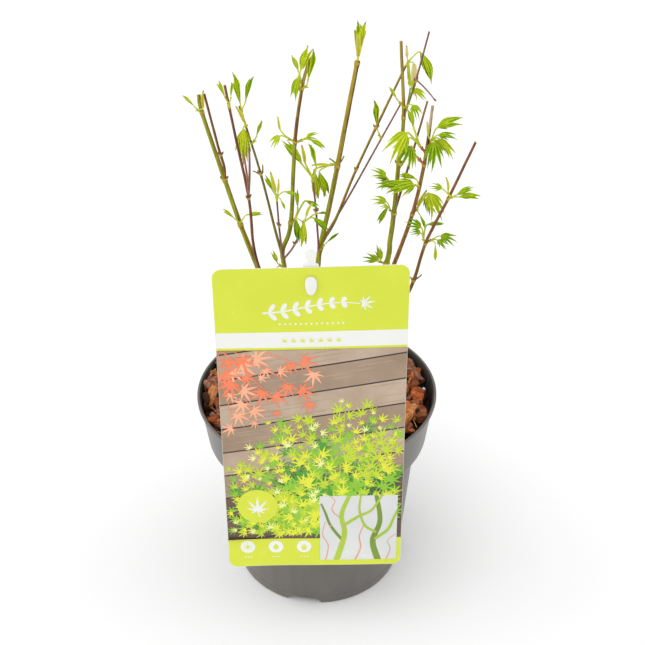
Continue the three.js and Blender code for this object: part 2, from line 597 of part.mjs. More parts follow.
// Mulch: a bed of bark with chips lying on it at all angles, in a sunflower spiral.
function mulchSolid() {
  const bottom = COMPOST.top + GAP;
  const bed = turned([[0, bottom], [collarInside(bottom), bottom], [collarInside(bottom), MULCH.top - 1.5],
    [collarInside(bottom) - 3, MULCH.top], [0, MULCH.top]]);
  const chips = [];
  for (let k = 0; k < MULCH.chips; k += 1) {
    const share = Math.sqrt((k + 0.5) / MULCH.chips);
    const r = MULCH.innerRadius + (MULCH.outerRadius - MULCH.innerRadius) * share;
    const angle = k * GOLDEN;
    const l = between(MULCH.length, k);
    const w = between(MULCH.width, k + 100);
    const t = between(MULCH.thick, k + 200);
    const outline = [
      [-l / 2, -w / 5], [-l / 5, -w / 2], [l / 2, -w / 3], [l / 2.4, w / 2.4], [-l / 3, w / 2]];
    const chip = prism(outline, t).translate(0, 0, -t / 2)
      .rotateX(rad(between(MULCH.tilt, k + 300))).rotateY(rad(between(MULCH.tilt, k + 400)))
      .rotateZ(between([0, Math.PI * 2], k + 500))
      .translate(r * Math.cos(angle), r * Math.sin(angle), MULCH.top + MULCH.lift);
    chips.push(solid(chip));
  }
  const [reach, ceiling] = [collarInside(bottom) - 0.2, MULCH.top + MULCH.headroom];
  const space = turned([[0, bottom], [reach, bottom], [reach, ceiling], [0, ceiling]]);
  return largest(joined([bed, ...chips]).intersect(space));
}

// Hang tag and its stake

// Places a geometry drawn in the card's plane: x across, y up the card, z out of its front.
function onCard(geometry, back = 0) {
  const lean = rad(CARD.lean);
  const rimTouch = POT.rimRadius + GAP + CARD.thick / 2 / Math.cos(lean);
  const y = -rimTouch + (CARD.z - (POT.height - 1.3)) * Math.tan(lean);
  return geometry.translate(0, 0, -back).rotateX(Math.PI / 2 - lean).translate(CARD.x, y, CARD.z);
}

function cardOutline() {
  const [w, h, c] = [CARD.width / 2, CARD.length / 2, CARD.corner];
  const shape = new THREE.Shape();
  shape.moveTo(-w + c, -h);
  shape.lineTo(w - c, -h).absarc(w - c, -h + c, c, -Math.PI / 2, 0);
  shape.lineTo(w, h - c).absarc(w - c, h - c, c, 0, Math.PI / 2);
  shape.lineTo(-w + c, h).absarc(-w + c, h - c, c, Math.PI / 2, Math.PI);
  shape.lineTo(-w, -h + c).absarc(-w + c, -h + c, c, Math.PI, 1.5 * Math.PI);
  return shape;
}

// Middle of the peg in the card's plane.
const pegAt = [0, CARD.length / 2 - PEG.down];
const block = ([x, y], w, h) => [[x - w, y - h], [x + w, y - h], [x + w, y + h], [x - w, y + h]];

function cardSolid() {
  const depth = CARD.thick;
  const plate = new THREE.ExtrudeGeometry(cardOutline(), { depth, bevelEnabled: false, curveSegments: 5 });
  const play = GAP + PEG.slotPlay;
  const slot = prism(block(pegAt, PEG.shank / 2 + play, PEG.shankHeight / 2 + play), 4 * CARD.thick);
  return solid(onCard(plate, depth / 2)).subtract(solid(onCard(slot, 2 * depth)));
}

// Oval outline round a point.
const oval = ([x, y], rx, ry, steps) => Array.from({ length: steps }, (_, i) => {
  const a = (2 * Math.PI * i) / steps;
  return [x + rx * Math.cos(a), y + ry * Math.sin(a)];
});

// Stake: a flat pointed stick in the compost, a round head over the card and a peg through it.
function stakeSolid(grow = 0) {
  const s = STAKE;
  const [x, y] = pegAt;
  const behind = CARD.thick / 2 + GAP;
  const top = CARD.length / 2;
  const half = [s.width / 2 + grow, s.thick / 2 + grow];
  const neck = [
    [x - s.neckWidth / 2, top + s.neckAbove], [x + s.neckWidth / 2, top + s.neckAbove],
    [x + half[0], top + s.neckAbove + s.neckHeight], [x - half[0], top + s.neckAbove + s.neckHeight]];
  const place = (outline, depth, back) => solid(onCard(prism(outline, depth), back));
  const [low, high] = [y - s.kneeBelow - 1, top + s.headAbove - s.headRadius / 2];
  const upper = joined([
    place(block([x, (low + high) / 2], half[0], (high - low) / 2), 2 * half[1], behind + s.thick + grow),
    place(neck, s.thick, behind + s.thick),
    place(oval([x, top + s.headAbove], s.headRadius, s.headRadius, 16), s.thick, behind + s.thick),
    place(block(pegAt, PEG.shank / 2, PEG.shankHeight / 2), behind * 2 + 1, behind + 0.5),
    place(oval(pegAt, PEG.width / 2, PEG.height / 2, 16), PEG.thick, -behind),
  ]);
  const knee = onCard(meshOf([x, y - s.kneeBelow, 0], []), behind + s.thick / 2).attributes.position;
  const rows = [
    [knee.getY(0), knee.getZ(0), half[0]],
    [s.footY, s.footZ + s.pointLength - grow, half[0]],
    [s.footY, s.footZ - grow, s.pointHalf + grow]];
  const position = rows.flatMap(([py, pz, w]) =>
    block([knee.getX(0), py], w, half[1]).flatMap(([px, q]) => [px, q, pz]));
  const index = [0, 1, 2, 0, 2, 3, 8, 10, 9, 8, 11, 10];
  for (const ring of [0, 4]) {
    for (let i = 0; i < 4; i += 1) {
      const [a, b] = [ring + i, ring + ((i + 1) % 4)];
      index.push(a, a + 4, b, b, a + 4, b + 4);
    }
  }
  return upper.add(solid(meshOf(position, index)));
}

// Materials

const finish = (color, roughness) => new THREE.MeshStandardMaterial({ color, roughness, metalness: 0 });
const materials = {
  pot: finish(0x77726e, 0.55),
  compost: finish(0x3b2a20, 0.95),
  mulch: finish(0x8d5834, 0.9),
  wood: finish(0x7b8326, 0.6),
  brownWood: finish(0x7a4a34, 0.6),
  leaf: finish(0x8cbf2a, 0.55),
  card: finish(0xdbe345, 0.35),
  stake: finish(0xf4f4ee, 0.4),
};
const BROWN = [
  'stem_a_side', 'stem_a_inner', 'stem_c_long', 'stem_c_back',
  'stem_d_right', 'stem_d_tall', 'stem_e', 'stem_f'];

// Assembly

const group = new THREE.Group();
function add(name, body, material) {
  const mesh = new THREE.Mesh(geometryOf(body), material);
  mesh.name = name;
  group.add(mesh);
}

const trunk = trunkSolid();
const fatStems = { trunk: trunkSolid(GAP) };
const stems = {};
for (const [name, { from, at, via, tip }] of Object.entries(STEMS)) {
  centreLines[name] = smooth([atHeight(centreLines[from], at), ...via.map(vec), vec(tip)]);
  stems[name] = largest(stemSolid(name).subtract(joined(Object.values(fatStems))));
  fatStems[name] = stemSolid(name, GAP);
}
const clusters = growClusters(fatStems);

const stake = stakeSolid();
const socket = stakeSolid(GAP);
add('pot', potSolid(), materials.pot);
add('compost', compostSolid().subtract(socket), materials.compost);
add('bark_mulch', largest(mulchSolid().subtract(socket).subtract(fatStems.trunk)), materials.mulch);
add('trunk', trunk, materials.wood);
for (const [name, body] of Object.entries(stems)) {
  add(name, body, BROWN.includes(name) ? materials.brownWood : materials.wood);
}
for (const [name, body] of Object.entries(clusters)) add(name, body, materials.leaf);
add('label_card', cardSolid(), materials.card);
add('label_stake', stake, materials.stake);

export default group;
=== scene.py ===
# Potted Japanese maple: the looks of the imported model.
# Lengths are millimetres and angles degrees, as in the part's source; `piece` turns them to metres.
# +Z is up, the origin is the middle of the pot's underside, and the front of the pot faces -Y.

import math

import bpy
import numpy as np
from mathutils import Matrix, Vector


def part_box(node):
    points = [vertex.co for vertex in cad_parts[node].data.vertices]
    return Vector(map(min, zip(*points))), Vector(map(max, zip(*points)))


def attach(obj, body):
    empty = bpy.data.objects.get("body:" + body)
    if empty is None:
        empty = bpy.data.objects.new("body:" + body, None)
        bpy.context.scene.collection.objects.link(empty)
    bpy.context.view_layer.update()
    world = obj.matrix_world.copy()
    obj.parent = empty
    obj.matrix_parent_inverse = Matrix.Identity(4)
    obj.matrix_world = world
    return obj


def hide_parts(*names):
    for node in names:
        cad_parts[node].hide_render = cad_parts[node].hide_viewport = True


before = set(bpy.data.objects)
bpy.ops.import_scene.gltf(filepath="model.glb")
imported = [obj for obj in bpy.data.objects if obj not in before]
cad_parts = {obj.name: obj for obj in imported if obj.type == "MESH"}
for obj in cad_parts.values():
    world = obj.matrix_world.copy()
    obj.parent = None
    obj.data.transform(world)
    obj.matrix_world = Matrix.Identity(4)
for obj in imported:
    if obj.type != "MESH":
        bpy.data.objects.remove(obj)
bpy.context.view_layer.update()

MM = 0.001
UP = np.array([0.0, 0.0, 1.0])
RIM, _, HEIGHT = np.array(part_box("pot")[1]) / MM  # outer radius of the pot's rolled rim, and its height
TURN = 2 * np.pi
SINE_STEP, SINE_SHIFT, SINE_SCALE = 12.9898, 4.1, 43758.5453  # any odd numbers that scatter the sines well
PHASES = 6.3  # upper limit of a drawn phase, about one turn


# Small helpers

def chance(k):
    """Repeatable number from 0 to 1 for each whole number: the fraction of a scaled sine."""
    value = np.sin(np.asarray(k) * SINE_STEP + SINE_SHIFT) * SINE_SCALE
    return value - np.floor(value)


def between(low, high, k):
    """Repeatable number between two limits for each whole number."""
    return low + (high - low) * chance(k)


def unit(v):
    """Directions of length 1."""
    return v / np.linalg.norm(v, axis=-1, keepdims=True)


def toward(bearing, rise):
    """Direction at a bearing from +X, anticlockwise seen from above, and an angle above level."""
    b, r = np.radians(bearing), np.radians(rise)
    return np.array([np.cos(b) * np.cos(r), np.sin(b) * np.cos(r), np.sin(r)])


def smooth_line(points, steps=48):
    """Uniform Catmull-Rom line: q + t (r-p)/2 + t2 (2p-5q+4r-s)/2 + t3 (3q-p-3r+s)/2, ends reflected."""
    points = np.asarray(points, float)
    whole = np.vstack([2 * points[0] - points[1], points, 2 * points[-1] - points[-2]])
    p, q, r, s = (whole[i:len(whole) - 3 + i, None] for i in range(4))
    t = (np.arange(steps) / steps)[None, :, None]
    line = (q + t * (r - p) / 2 + t**2 * (2 * p - 5 * q + 4 * r - s) / 2
            + t**3 * (3 * q - p - 3 * r + s) / 2)
    return np.vstack([line.reshape(-1, points.shape[1]), points[-1]])


def spaced(line, step):
    """The same line with points at equal distances of about `step`."""
    length = np.concatenate([[0], np.cumsum(np.linalg.norm(np.diff(line, axis=0), axis=1))])
    places = np.linspace(0, length[-1], max(2, int(round(length[-1] / step)) + 1))
    return np.stack([np.interp(places, length, line[:, k]) for k in range(line.shape[1])], -1)


def at_height(line, z):
    """Point of a rising line at a height."""
    return np.array([np.interp(z, line[:, 2], line[:, k]) for k in range(3)])


def ripple(a, b, seed, waves=7):
    """Uneven relief from about -1 to 1: sines of whole turns of angle `a` and of length `b`."""
    total = 0
    for k in range(waves):
        first = seed + k * 3
        turns = np.floor(between(1, 6, first))
        total = total + np.sin(turns * a + between(0.2, 2.4, first + 1) * b + PHASES * chance(first + 2))
    return total / math.sqrt(waves * 2)


# Closed skins: a shape is its points and a list of arrays of faces

def grid_faces(rows, cols, wrap):
    """Quads of a grid numbered row by row; `wrap` joins the last column to the first."""
    i, j = np.meshgrid(np.arange(rows - 1), np.arange(cols if wrap else cols - 1), indexing="ij")
    k = (j + 1) % cols
    quads = np.stack([i * cols + j, i * cols + k, (i + 1) * cols + k, (i + 1) * cols + j], -1)
    return quads.reshape(-1, 4)


def repeated(points, lots):
    """Shape of B copies (B, n, 3) of one set of faces, numbered on from copy to copy."""
    count, each, _ = points.shape
    shift = (np.arange(count) * each)[:, None, None]
    return points.reshape(-1, 3), [(lot[None] + shift).reshape(-1, lot.shape[1]) for lot in lots]


def closed_rings(rings):
    """Closed skins of B stacks of rings (B, rows, cols, 3), with a fan to the middle of each end ring."""
    count, rows, cols, _ = rings.shape
    flat = np.concatenate([rings.reshape(count, -1, 3), rings[:, [0, -1]].mean(2)], 1)
    ring = np.arange(cols)
    after = (ring + 1) % cols
    foot = np.stack([np.full(cols, rows * cols), after, ring], -1)
    last = (rows - 1) * cols
    head = np.stack([np.full(cols, rows * cols + 1), last + ring, last + after], -1)
    return repeated(flat, [grid_faces(rows, cols, True), np.concatenate([foot, head])])


def sweep(path, radii, sides):
    """Tubes round B paths (B, rows, 3): path + radius (cos a side + sin a top), both square to the path."""
    along = unit(np.gradient(path, axis=1))
    whole = unit(path[:, -1] - path[:, 0])
    guide = np.where(np.abs(whole[:, :1]) < 0.7, [[1.0, 0.0, 0.0]], [[0.0, 1.0, 0.0]])
    side = unit(np.cross(guide[:, None], along))
    top = np.cross(along, side)
    a = TURN * np.arange(sides) / sides
    radii = np.broadcast_to(radii[..., None] if radii.ndim == 2 else radii, (*path.shape[:2], sides))
    return closed_rings(path[:, :, None] + radii[..., None] * (
        np.cos(a)[:, None] * side[:, :, None] + np.sin(a)[:, None] * top[:, :, None]))


def piece(name, shapes, materials, nodes=(), sharp=50):
    """One Blender mesh of all the shapes, riding on the body, with edges steeper than `sharp` kept crisp.

    A shape may have a third item: for each of its arrays of faces, the number of each face's material.
    """
    start = 0
    points, lots, paint = [], [], []
    for shape_points, shape_lots, *numbers in shapes:
        points.append(shape_points)
        lots += [lot + start for lot in shape_lots]
        paint += numbers[0] if numbers else [np.zeros(len(lot), int) for lot in shape_lots]
        start += len(shape_points)
    sizes = np.concatenate([np.full(len(lot), lot.shape[1]) for lot in lots])
    corners = np.concatenate([lot.ravel() for lot in lots])
    mesh = bpy.data.meshes.new(name)
    mesh.vertices.add(start)
    mesh.vertices.foreach_set("co", (np.concatenate(points) * MM).astype(np.float32).ravel())
    mesh.loops.add(len(corners))
    mesh.loops.foreach_set("vertex_index", corners.astype(np.int32))
    mesh.polygons.add(len(sizes))
    mesh.polygons.foreach_set("loop_start", (np.cumsum(sizes) - sizes).astype(np.int32))
    mesh.polygons.foreach_set("use_smooth", np.ones(len(sizes), bool))
    for material in materials:
        mesh.materials.append(material)
    mesh.polygons.foreach_set("material_index", np.concatenate(paint).astype(np.int32))
    mesh.update(calc_edges=True)
    mesh.set_sharp_from_angle(angle=math.radians(sharp))
    made = bpy.data.objects.new(name, mesh)
    bpy.context.scene.collection.objects.link(made)
    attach(made, "root")
    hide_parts(*nodes)
    return made


# Materials

def linear(code):
    """Linear colour of an sRGB hex value."""
    value = np.array([int(code[i:i + 2], 16) for i in (0, 2, 4)]) / 255
    value = np.where(value <= 0.04045, value / 12.92, ((value + 0.055) / 1.055) ** 2.4)
    return (*value, 1.0)


def add_node(tree, kind, inputs=(), **settings):
    """A node with its settings; each input is a value or the output that feeds it."""
    made = tree.nodes.new(kind)
    for key, value in settings.items():
        setattr(made, key, value)
    for key, value in dict(inputs).items():
        if isinstance(value, bpy.types.NodeSocket):
            tree.links.new(value, made.inputs[key])
        else:
            made.inputs[key].default_value = value
    return made


RAMP_START, RAMP_SPAN = 0.32, 0.36  # part of the noise's range that the tones are spread over
NOISE_RANGE = (0.3, 0.7)  # part of it that the roughness is spread over


def finish(name, tones, roughness, patch, stretch=(1, 1, 1), relief=0.0, grain=1.0, ior=1.5, gloss=0.5):
    """Surface whose colour and roughness wander with a noise in Object coordinates.

    `tones` are hex colours from the noise's low end to its high end, `roughness` the two limits, `patch`
    the size of a patch in millimetres, `stretch` how much longer it is along each axis, `relief` the height
    of the bump and `grain` its width, both in millimetres. `gloss` is the shader's specular level, 0.5 for
    plastics and less for a surface whose pores and hairs break up its shine.
    """
    material = bpy.data.materials.new(name)
    material.use_nodes = True
    tree = material.node_tree
    tree.nodes.clear()
    base = add_node(tree, "ShaderNodeBsdfPrincipled", {"IOR": ior, "Specular IOR Level": gloss})
    add_node(tree, "ShaderNodeOutputMaterial", {"Surface": base.outputs[0]})
    place = add_node(tree, "ShaderNodeTexCoord").outputs["Object"]
    scale = [1 / (patch * MM * s) for s in stretch]
    mapped = add_node(tree, "ShaderNodeMapping", {"Vector": place, "Scale": scale}).outputs[0]
    cloud = add_node(tree, "ShaderNodeTexNoise", {
        "Vector": mapped, "Scale": 1.0, "Detail": 5.0, "Roughness": 0.6})
    ramp = add_node(tree, "ShaderNodeValToRGB", {"Fac": cloud.outputs[0]})
    for _ in tones[2:]:
        ramp.color_ramp.elements.new(0.5)
    for i, (stop, tone) in enumerate(zip(ramp.color_ramp.elements, tones)):
        stop.position = RAMP_START + RAMP_SPAN * i / (len(tones) - 1)
        stop.color = linear(tone)
    tree.links.new(ramp.outputs[0], base.inputs["Base Color"])
    rough = add_node(tree, "ShaderNodeMapRange", {
        "Value": cloud.outputs[0], "From Min": NOISE_RANGE[0], "From Max": NOISE_RANGE[1],
        "To Min": roughness[0], "To Max": roughness[1]})
    tree.links.new(rough.outputs[0], base.inputs["Roughness"])
    if relief:
        size = [1 / (grain * MM * s) for s in stretch]
        fine = add_node(tree, "ShaderNodeMapping", {"Vector": place, "Scale": size}).outputs[0]
        bumps = add_node(tree, "ShaderNodeTexNoise", {"Vector": fine, "Scale": 1.0, "Detail": 3.0})
        bump = add_node(tree, "ShaderNodeBump", {
            "Height": bumps.outputs[0], "Distance": relief * MM, "Strength": 1.0})
        tree.links.new(bump.outputs[0], base.inputs["Normal"])
    return material


# Pot: injection-moulded polypropylene, satin, with a fine grain and faint upright flow marks
POT_PLASTIC = finish("pot_polypropylene", ["5f5b57", "696560"], (0.32, 0.42), 9, (1, 1, 8), 0.012, 0.5, 1.49)
# Its inner wall: duller, and darker as painted shade of the pot's inside
POT_INSIDE_SHADE = finish("shaded_inner_polypropylene", ["2c2824", "443f3a"], (0.6, 0.8), 6, (1, 1, 3), 0.05, 0.8,
                    gloss=0.3)
# Peat compost: dark, matt and crumbly
COMPOST = finish("moist_compost", ["1d140e", "3b2a20", "4e3a2b"], (0.85, 1.0), 3, relief=1.2, grain=1.6)


def mulch_bark(name, tones, roughness=(0.7, 0.9), patch=5):
    """Pine bark: fibrous and matt, orange where it is freshly split, mauve-brown where weathered."""
    return finish(name, tones, roughness, patch, relief=0.35, grain=0.8, gloss=0.2)


BARK_TONES = {
    "tan": mulch_bark("split_bark", ["9a5026", "c0743c", "dca478"]),
    "red": mulch_bark("red_bark", ["7c3210", "aa5222", "cc7c48"]),
    "brown": mulch_bark("brown_bark", ["603014", "8c4e2a", "b07450"]),
    "mauve": mulch_bark("weathered_bark", ["6c3c2a", "925c46", "b88a74"], (0.75, 0.92)),
    # dark bark, and also painted shade on the bed and on the buried chips
    "dark": mulch_bark("dark_bark_and_gap_shade", ["1e0f08", "36190c", "4c2816"], (0.6, 0.85), 4),
}
# Loose inner fibres of the bark, paler and a little silky
FIBRE = finish("bark_fibre", ["b87840", "d8a064"], (0.6, 0.8), 2, relief=0.08, grain=0.3, gloss=0.2)
# Perlite grains from the compost: white, chalky and full of pores
PERLITE = finish("perlite", ["d8d4cc", "f0ede6"], (0.8, 0.9), 1, relief=0.1, grain=0.3, gloss=0.2)
STREAK = (1, 1, 14)  # the stems' bark is streaked along their length


def bark_pair(name, tones, shade_tones, roughness=(0.38, 0.52)):
    """Young maple bark, smooth, thin and slightly waxy: its own colours, and darker browner ones as painted
    shade on the right-hand side.
    """
    return [finish(f"{name}_{side}", hues, roughness, 1.6, STREAK, 0.05, 0.5, 1.46, 0.35)
            for side, hues in (("bark", tones), ("bark_painted_shade", shade_tones))]


# Each bark: its own colours, then darker browner ones painted on the stems' right-hand side as shade
WOOD_TONES = {
    "olive": bark_pair("olive", ["727804", "90960c", "a6a820"], ["644e06", "806c10", "907a18"]),
    "dark_olive": bark_pair("dark_olive", ["5c5a0a", "767214", "868022"], ["4c3c08", "604e10", "70601a"]),
    "tan_olive": bark_pair("tan_olive", ["826e0e", "9e881a", "ae9a2a"], ["523010", "6a4416", "7c561c"]),
    "brown": bark_pair("brown", ["6c4612", "8c5e1c", "a2742c"], ["482810", "5e3a14", "70481c"]),
    "red_brown": bark_pair("red_brown", ["64361c", "824e28", "986434"], ["442212", "58301a", "683c24"]),
    "violet": bark_pair("violet", ["764a46", "946658", "a87a62"], ["52302c", "6a403a", "7c5046"]),
    "dry": bark_pair("dead", ["a0826a", "bca284", "d4c2a4"], ["84624e", "9a7860", "ac8a70"], (0.6, 0.8)),
}
# Pruned tips, dry and pale
CUT_WOOD = finish("cut_wood", ["b09060", "d4bc90"], (0.6, 0.75), 0.8, relief=0.04, grain=0.3, gloss=0.2)
# Scars where old leaves sat: corky rings on the joints
LEAF_SCAR = finish("leaf_scar", ["947a28", "b89c3a", "caae4c"], (0.5, 0.65), 1.2, relief=0.06, grain=0.4,
                   gloss=0.2)


def bud_skin(name, tones, roughness=(0.35, 0.5)):
    """Bud scales: dry, thin and a little glossy."""
    return finish(name, tones, roughness, 1.5, relief=0.03, grain=0.4, gloss=0.3)


BUD_SCALE = bud_skin("bud_scale", ["74502a", "93703c", "ac8a4c"])
PINK_SCALE = bud_skin("pink_bud_scale", ["ac5028", "c66e3c", "da8c52"])
TAN_SCALE = bud_skin("tan_bud_scale", ["968020", "b8a232", "ccba4a"], (0.4, 0.55))
LEAF_IOR = 1.42  # wax and cell walls
# Points of the leaves, dried to brown
LEAF_TIP = finish("leaf_point", ["8a8238", "a89c54"], (0.5, 0.65), 2, ior=LEAF_IOR, gloss=0.2)


def leaf_set(name, edge, fold_shade):
    """Young leaves, thin and soft with a weak waxy shine: margins lighter as painted highlight, greener folds
    along the ribs darker as painted shade, points.
    """
    return [finish(f"{name}_{part}", hues, (0.42, 0.55), 4, relief=0.03, grain=0.6, ior=LEAF_IOR, gloss=0.2)
            for part, hues in (("leaf", edge), ("leaf_fold_shade", fold_shade))] + [LEAF_TIP]


LEAF_TONES = {
    "lime": leaf_set("lime", ["c8d420", "d8e03c"], ["9cb40a", "b0c418"]),
    "spring": leaf_set("spring", ["b8cc14", "cadb2a"], ["7ca206", "90b20e"]),
    "mid": leaf_set("mid_green", ["a4c20c", "b8d01a"], ["5c8c04", "729c08"]),
    "deep": leaf_set("deep_green", ["90b00e", "a4be18"], ["4a7a04", "609008"]),
    "pale": leaf_set("pale", ["d2d050", "e2e07c"], ["b8b42e", "c8c444"]),
    "cream": leaf_set("cream", ["ece2a8", "f6f0cc"], ["d6c87c", "e2d694"]),
}
# Leaf stalks and young shoots: smooth, waxy and juicy
PETIOLE = finish("petiole", ["b4c420", "d0d648"], (0.4, 0.5), 3, ior=LEAF_IOR, gloss=0.2)
# Stake and the card's core: moulded polystyrene, white and satin
WHITE_PLASTIC = finish("white_polystyrene", ["e6e6e2", "eeeeea"], (0.28, 0.36), 12, relief=0.01, grain=2,
                       ior=1.59)


def ink(name, tone, darker):
    """Printed colour under a clear laminate: even, with a glossy skin that is very slightly wavy."""
    return finish(name, [darker, tone], (0.22, 0.28), 30, relief=0.02, grain=14, ior=1.5)


# Pot. Radii of the middle boss, the foot ring's inside and foot, the body's top and the collar, and heights
POT = {
    "boss": 24, "under": 2.4, "ring_inner": 61, "foot": 70.9, "body_top": 80.9, "step_z": 132.8,
    "collar_foot": 88.6, "collar_top": 93.0, "bead": 3.0, "land": 1.8, "wall": 1.3, "floor": 4.2,
}
# Drain channels: the first one's bearing, widths at the mouth and at the roof, and how far in they reach
DRAIN = {"count": 4, "first": -100.5, "mouth": 29, "roof": 21, "height": 6.2, "thick": 1.7, "inner": 34.7}
WALL_STEP, INSIDE_STEP = 3.2, 5  # longest faces outside and inside
POT_TURN = 1.25  # degrees of each face round the wall
POLE = 0.4  # radius at which the floor's faces end in a fan


def rounded(corners, steps=5):
    """Line through corners (x, y, rounding): each corner is a quadratic curve that starts that far off."""
    corners = np.asarray(corners, float)
    line = [corners[:1, :2]]
    t = np.linspace(0, 1, steps)[:, None]
    for before, (x, y, size), after in zip(corners[:-2], corners[1:-1], corners[2:]):
        here = np.array([x, y])
        reach_in, reach_out = before[:2] - here, after[:2] - here
        start = here + reach_in * min(0.49, size / np.linalg.norm(reach_in))
        stop = here + reach_out * min(0.49, size / np.linalg.norm(reach_out))
        line.append((1 - t) ** 2 * start + 2 * t * (1 - t) * here + t**2 * stop)
    line.append(corners[-1:, :2])
    return np.concatenate(line)


def divided(line, longest):
    """The same line with long stretches cut to at most `longest`."""
    parts = [line[:1]]
    for a, b in zip(line[:-1], line[1:]):
        count = max(1, math.ceil(np.linalg.norm(b - a) / longest))
        parts.append(a + (b - a) * (np.arange(1, count + 1) / count)[:, None])
    return np.concatenate(parts)


def drain_roof(x, y):
    """Height of the drain channels' roof over each point, falling to 0 beside them and inside their end."""
    d = DRAIN
    roof = np.zeros_like(x)
    for i in range(d["count"]):
        turn = math.radians(d["first"] + i * 360 / d["count"])
        out = x * math.cos(turn) + y * math.sin(turn)
        across = np.abs(-x * math.sin(turn) + y * math.cos(turn))
        wall = np.clip((d["mouth"] / 2 - across) / ((d["mouth"] - d["roof"]) / 2), 0, 1)
        end = np.clip((out - d["inner"]) / 2, 0, 1)
        roof = np.maximum(roof, d["height"] * wall**0.8 * end)
    return roof


def pot_shape():
    """Pot wall turned about Z, with the underside lifted to the roofs of its drain channels.

    Each row of the section is radius, height and rounding. It runs under the floor and up the outside, over
    the rim, and down the inside to the floor's middle.
    """
    p = POT
    wall, foot, land = p["wall"], p["foot"], RIM - p["land"]
    bead_z = HEIGHT - p["bead"]
    outer = divided(rounded([
        # boss, sunken ring and foot
        (POLE, 0, 0), (p["boss"], 0, 0.8), (p["boss"] + 1.6, p["under"], 0.8),
        (p["ring_inner"], p["under"], 0.8), (p["ring_inner"] + 1.6, 0, 0.6), (foot, 0, 1.9),
        # groove over the foot, and the body
        (foot + 0.75, 9.6, 0.3), (foot + 0.45, 10.2, 0.3), (foot + 0.85, 10.9, 0.4),
        (p["body_top"], p["step_z"] - 0.5, 2.2),
        # collar, rolled rim and its inner edge
        (p["collar_foot"], p["step_z"], 1.6), (p["collar_top"], bead_z - 0.6, 0.7), (RIM, bead_z, 1.2),
        (RIM, HEIGHT, 1.4), (land, HEIGHT, 0.8), (land - 1.4, HEIGHT - 3, 1.0),
        (p["collar_top"] - wall, HEIGHT - 7, 0)]), WALL_STEP)
    inner = divided(rounded([
        (p["collar_top"] - wall, HEIGHT - 7.5, 0), (p["collar_foot"] - wall, p["step_z"] + 2.1, 1.4),
        (p["body_top"] - wall, p["step_z"] + 1.3, 2), (foot - wall - 0.1, p["floor"] + 3.5, 2),
        (foot - wall - 3.5, p["floor"], 2), (POLE, p["floor"], 0)]), INSIDE_STEP)
    section = np.concatenate([outer, inner])
    a = np.radians(np.arange(0, 360, POT_TURN))
    x, y = section[:, :1] * np.cos(a), section[:, :1] * np.sin(a)
    z = np.broadcast_to(section[:, 1:], x.shape)
    roof = drain_roof(x, y)
    roof = roof + np.where(np.arange(len(section)) < len(outer), 0, DRAIN["thick"])[:, None] * (roof > 0)
    points, (walls, ends) = closed_rings(np.stack([x, y, np.maximum(z, roof)], -1)[None])
    # Faces from the rim's inner edge down the inside take the darker material: painted shade
    lip = np.argmax((section[:, 1] > HEIGHT - 2) & (section[:, 0] < land + 0.1))
    inside = np.repeat(np.arange(len(section) - 1) >= lip, len(a))
    return points, [walls, ends], [inside.astype(int), np.zeros(len(ends), int)]


# Bark mulch

# Heights of the bed, of the highest chip and of the bed's underside, relief of the bed, and the radii of the
# pile and of the clear ring round the trunk
MULCH = {"bed": 160.0, "top": 175.0, "reach": 89.8, "trunk_clear": 10.5, "foot": 150.35, "relief": 0.4}
PILE_CELLS = np.arange(-90, 90.1, 1.5)  # places across the pot at which the pile's height is kept
# Number of pieces, limits of their length, width and thickness, seed, and how far they may tip
DROPS = {
    "under": (150, ((9, 18), (4, 8), (2.0, 3.6)), 23, 0.35),
    "slabs": (108, ((17, 32), (6.5, 14), (4.0, 7.5)), 11, 0.4),
    "chips": (100, ((7, 15), (2.6, 5.5), (1.8, 3.4)), 29, 0.45),
    "splinters": (50, ((9, 24), (0.9, 1.7), (0.7, 1.1)), 37, 0.34),
    "grit": (20, ((1.4, 2.6), (1.2, 2.2), (1.0, 1.8)), 51, 0.3),
}
# One slab that leans on the pot's right rim: its middle, its three axes and its size
LEANING_SLAB = ([[77.0, 33.0, 167.0]], [[toward(96, 38), toward(-155, 18), toward(211, 48)]], [[16, 11, 5.5]])
# Two long fibres on the right, through these points
LONE_FIBRES = np.array([
    [[84, -6, 163.4], [82, -20, 165], [77.5, -38, 167.6]],
    [[71.7, -25, 164], [74, -40, 168.2], [75.2, -52, 170.4]]])
LONE_STEPS, LONE_RADIUS = 12, 0.55
# How the slabs and chips are dealt out to the colours, in their order: limits of a drawn number from 0 to 1
SLAB_DEAL = [0.18, 0.46, 0.74, 0.97]
CHIP_DEAL = [0.12, 0.36, 0.64, 0.78]
BURIED_SHIFT = 0.35  # moves the chips that lie underneath towards the dark end: painted shade in the gaps between the chips
# Shares of a chip's width: how near its middle may come to the wall and to the trunk. Share of its length:
# how near the wall it lies along it, give or take the angle `swerve`. Then the steepest slope, the share of
# the pile under a chip that is below its plane, and the share of its thickness that raises the pile.
LAY = {
    "wall": 0.38, "trunk": 0.45, "along_wall": 0.52, "swerve": 0.35, "slope": 0.5, "below": 0.8, "raise": 0.9,
}
PILE_MIDDLE = (-1, 1)  # where the leaning trunk comes out of the pile


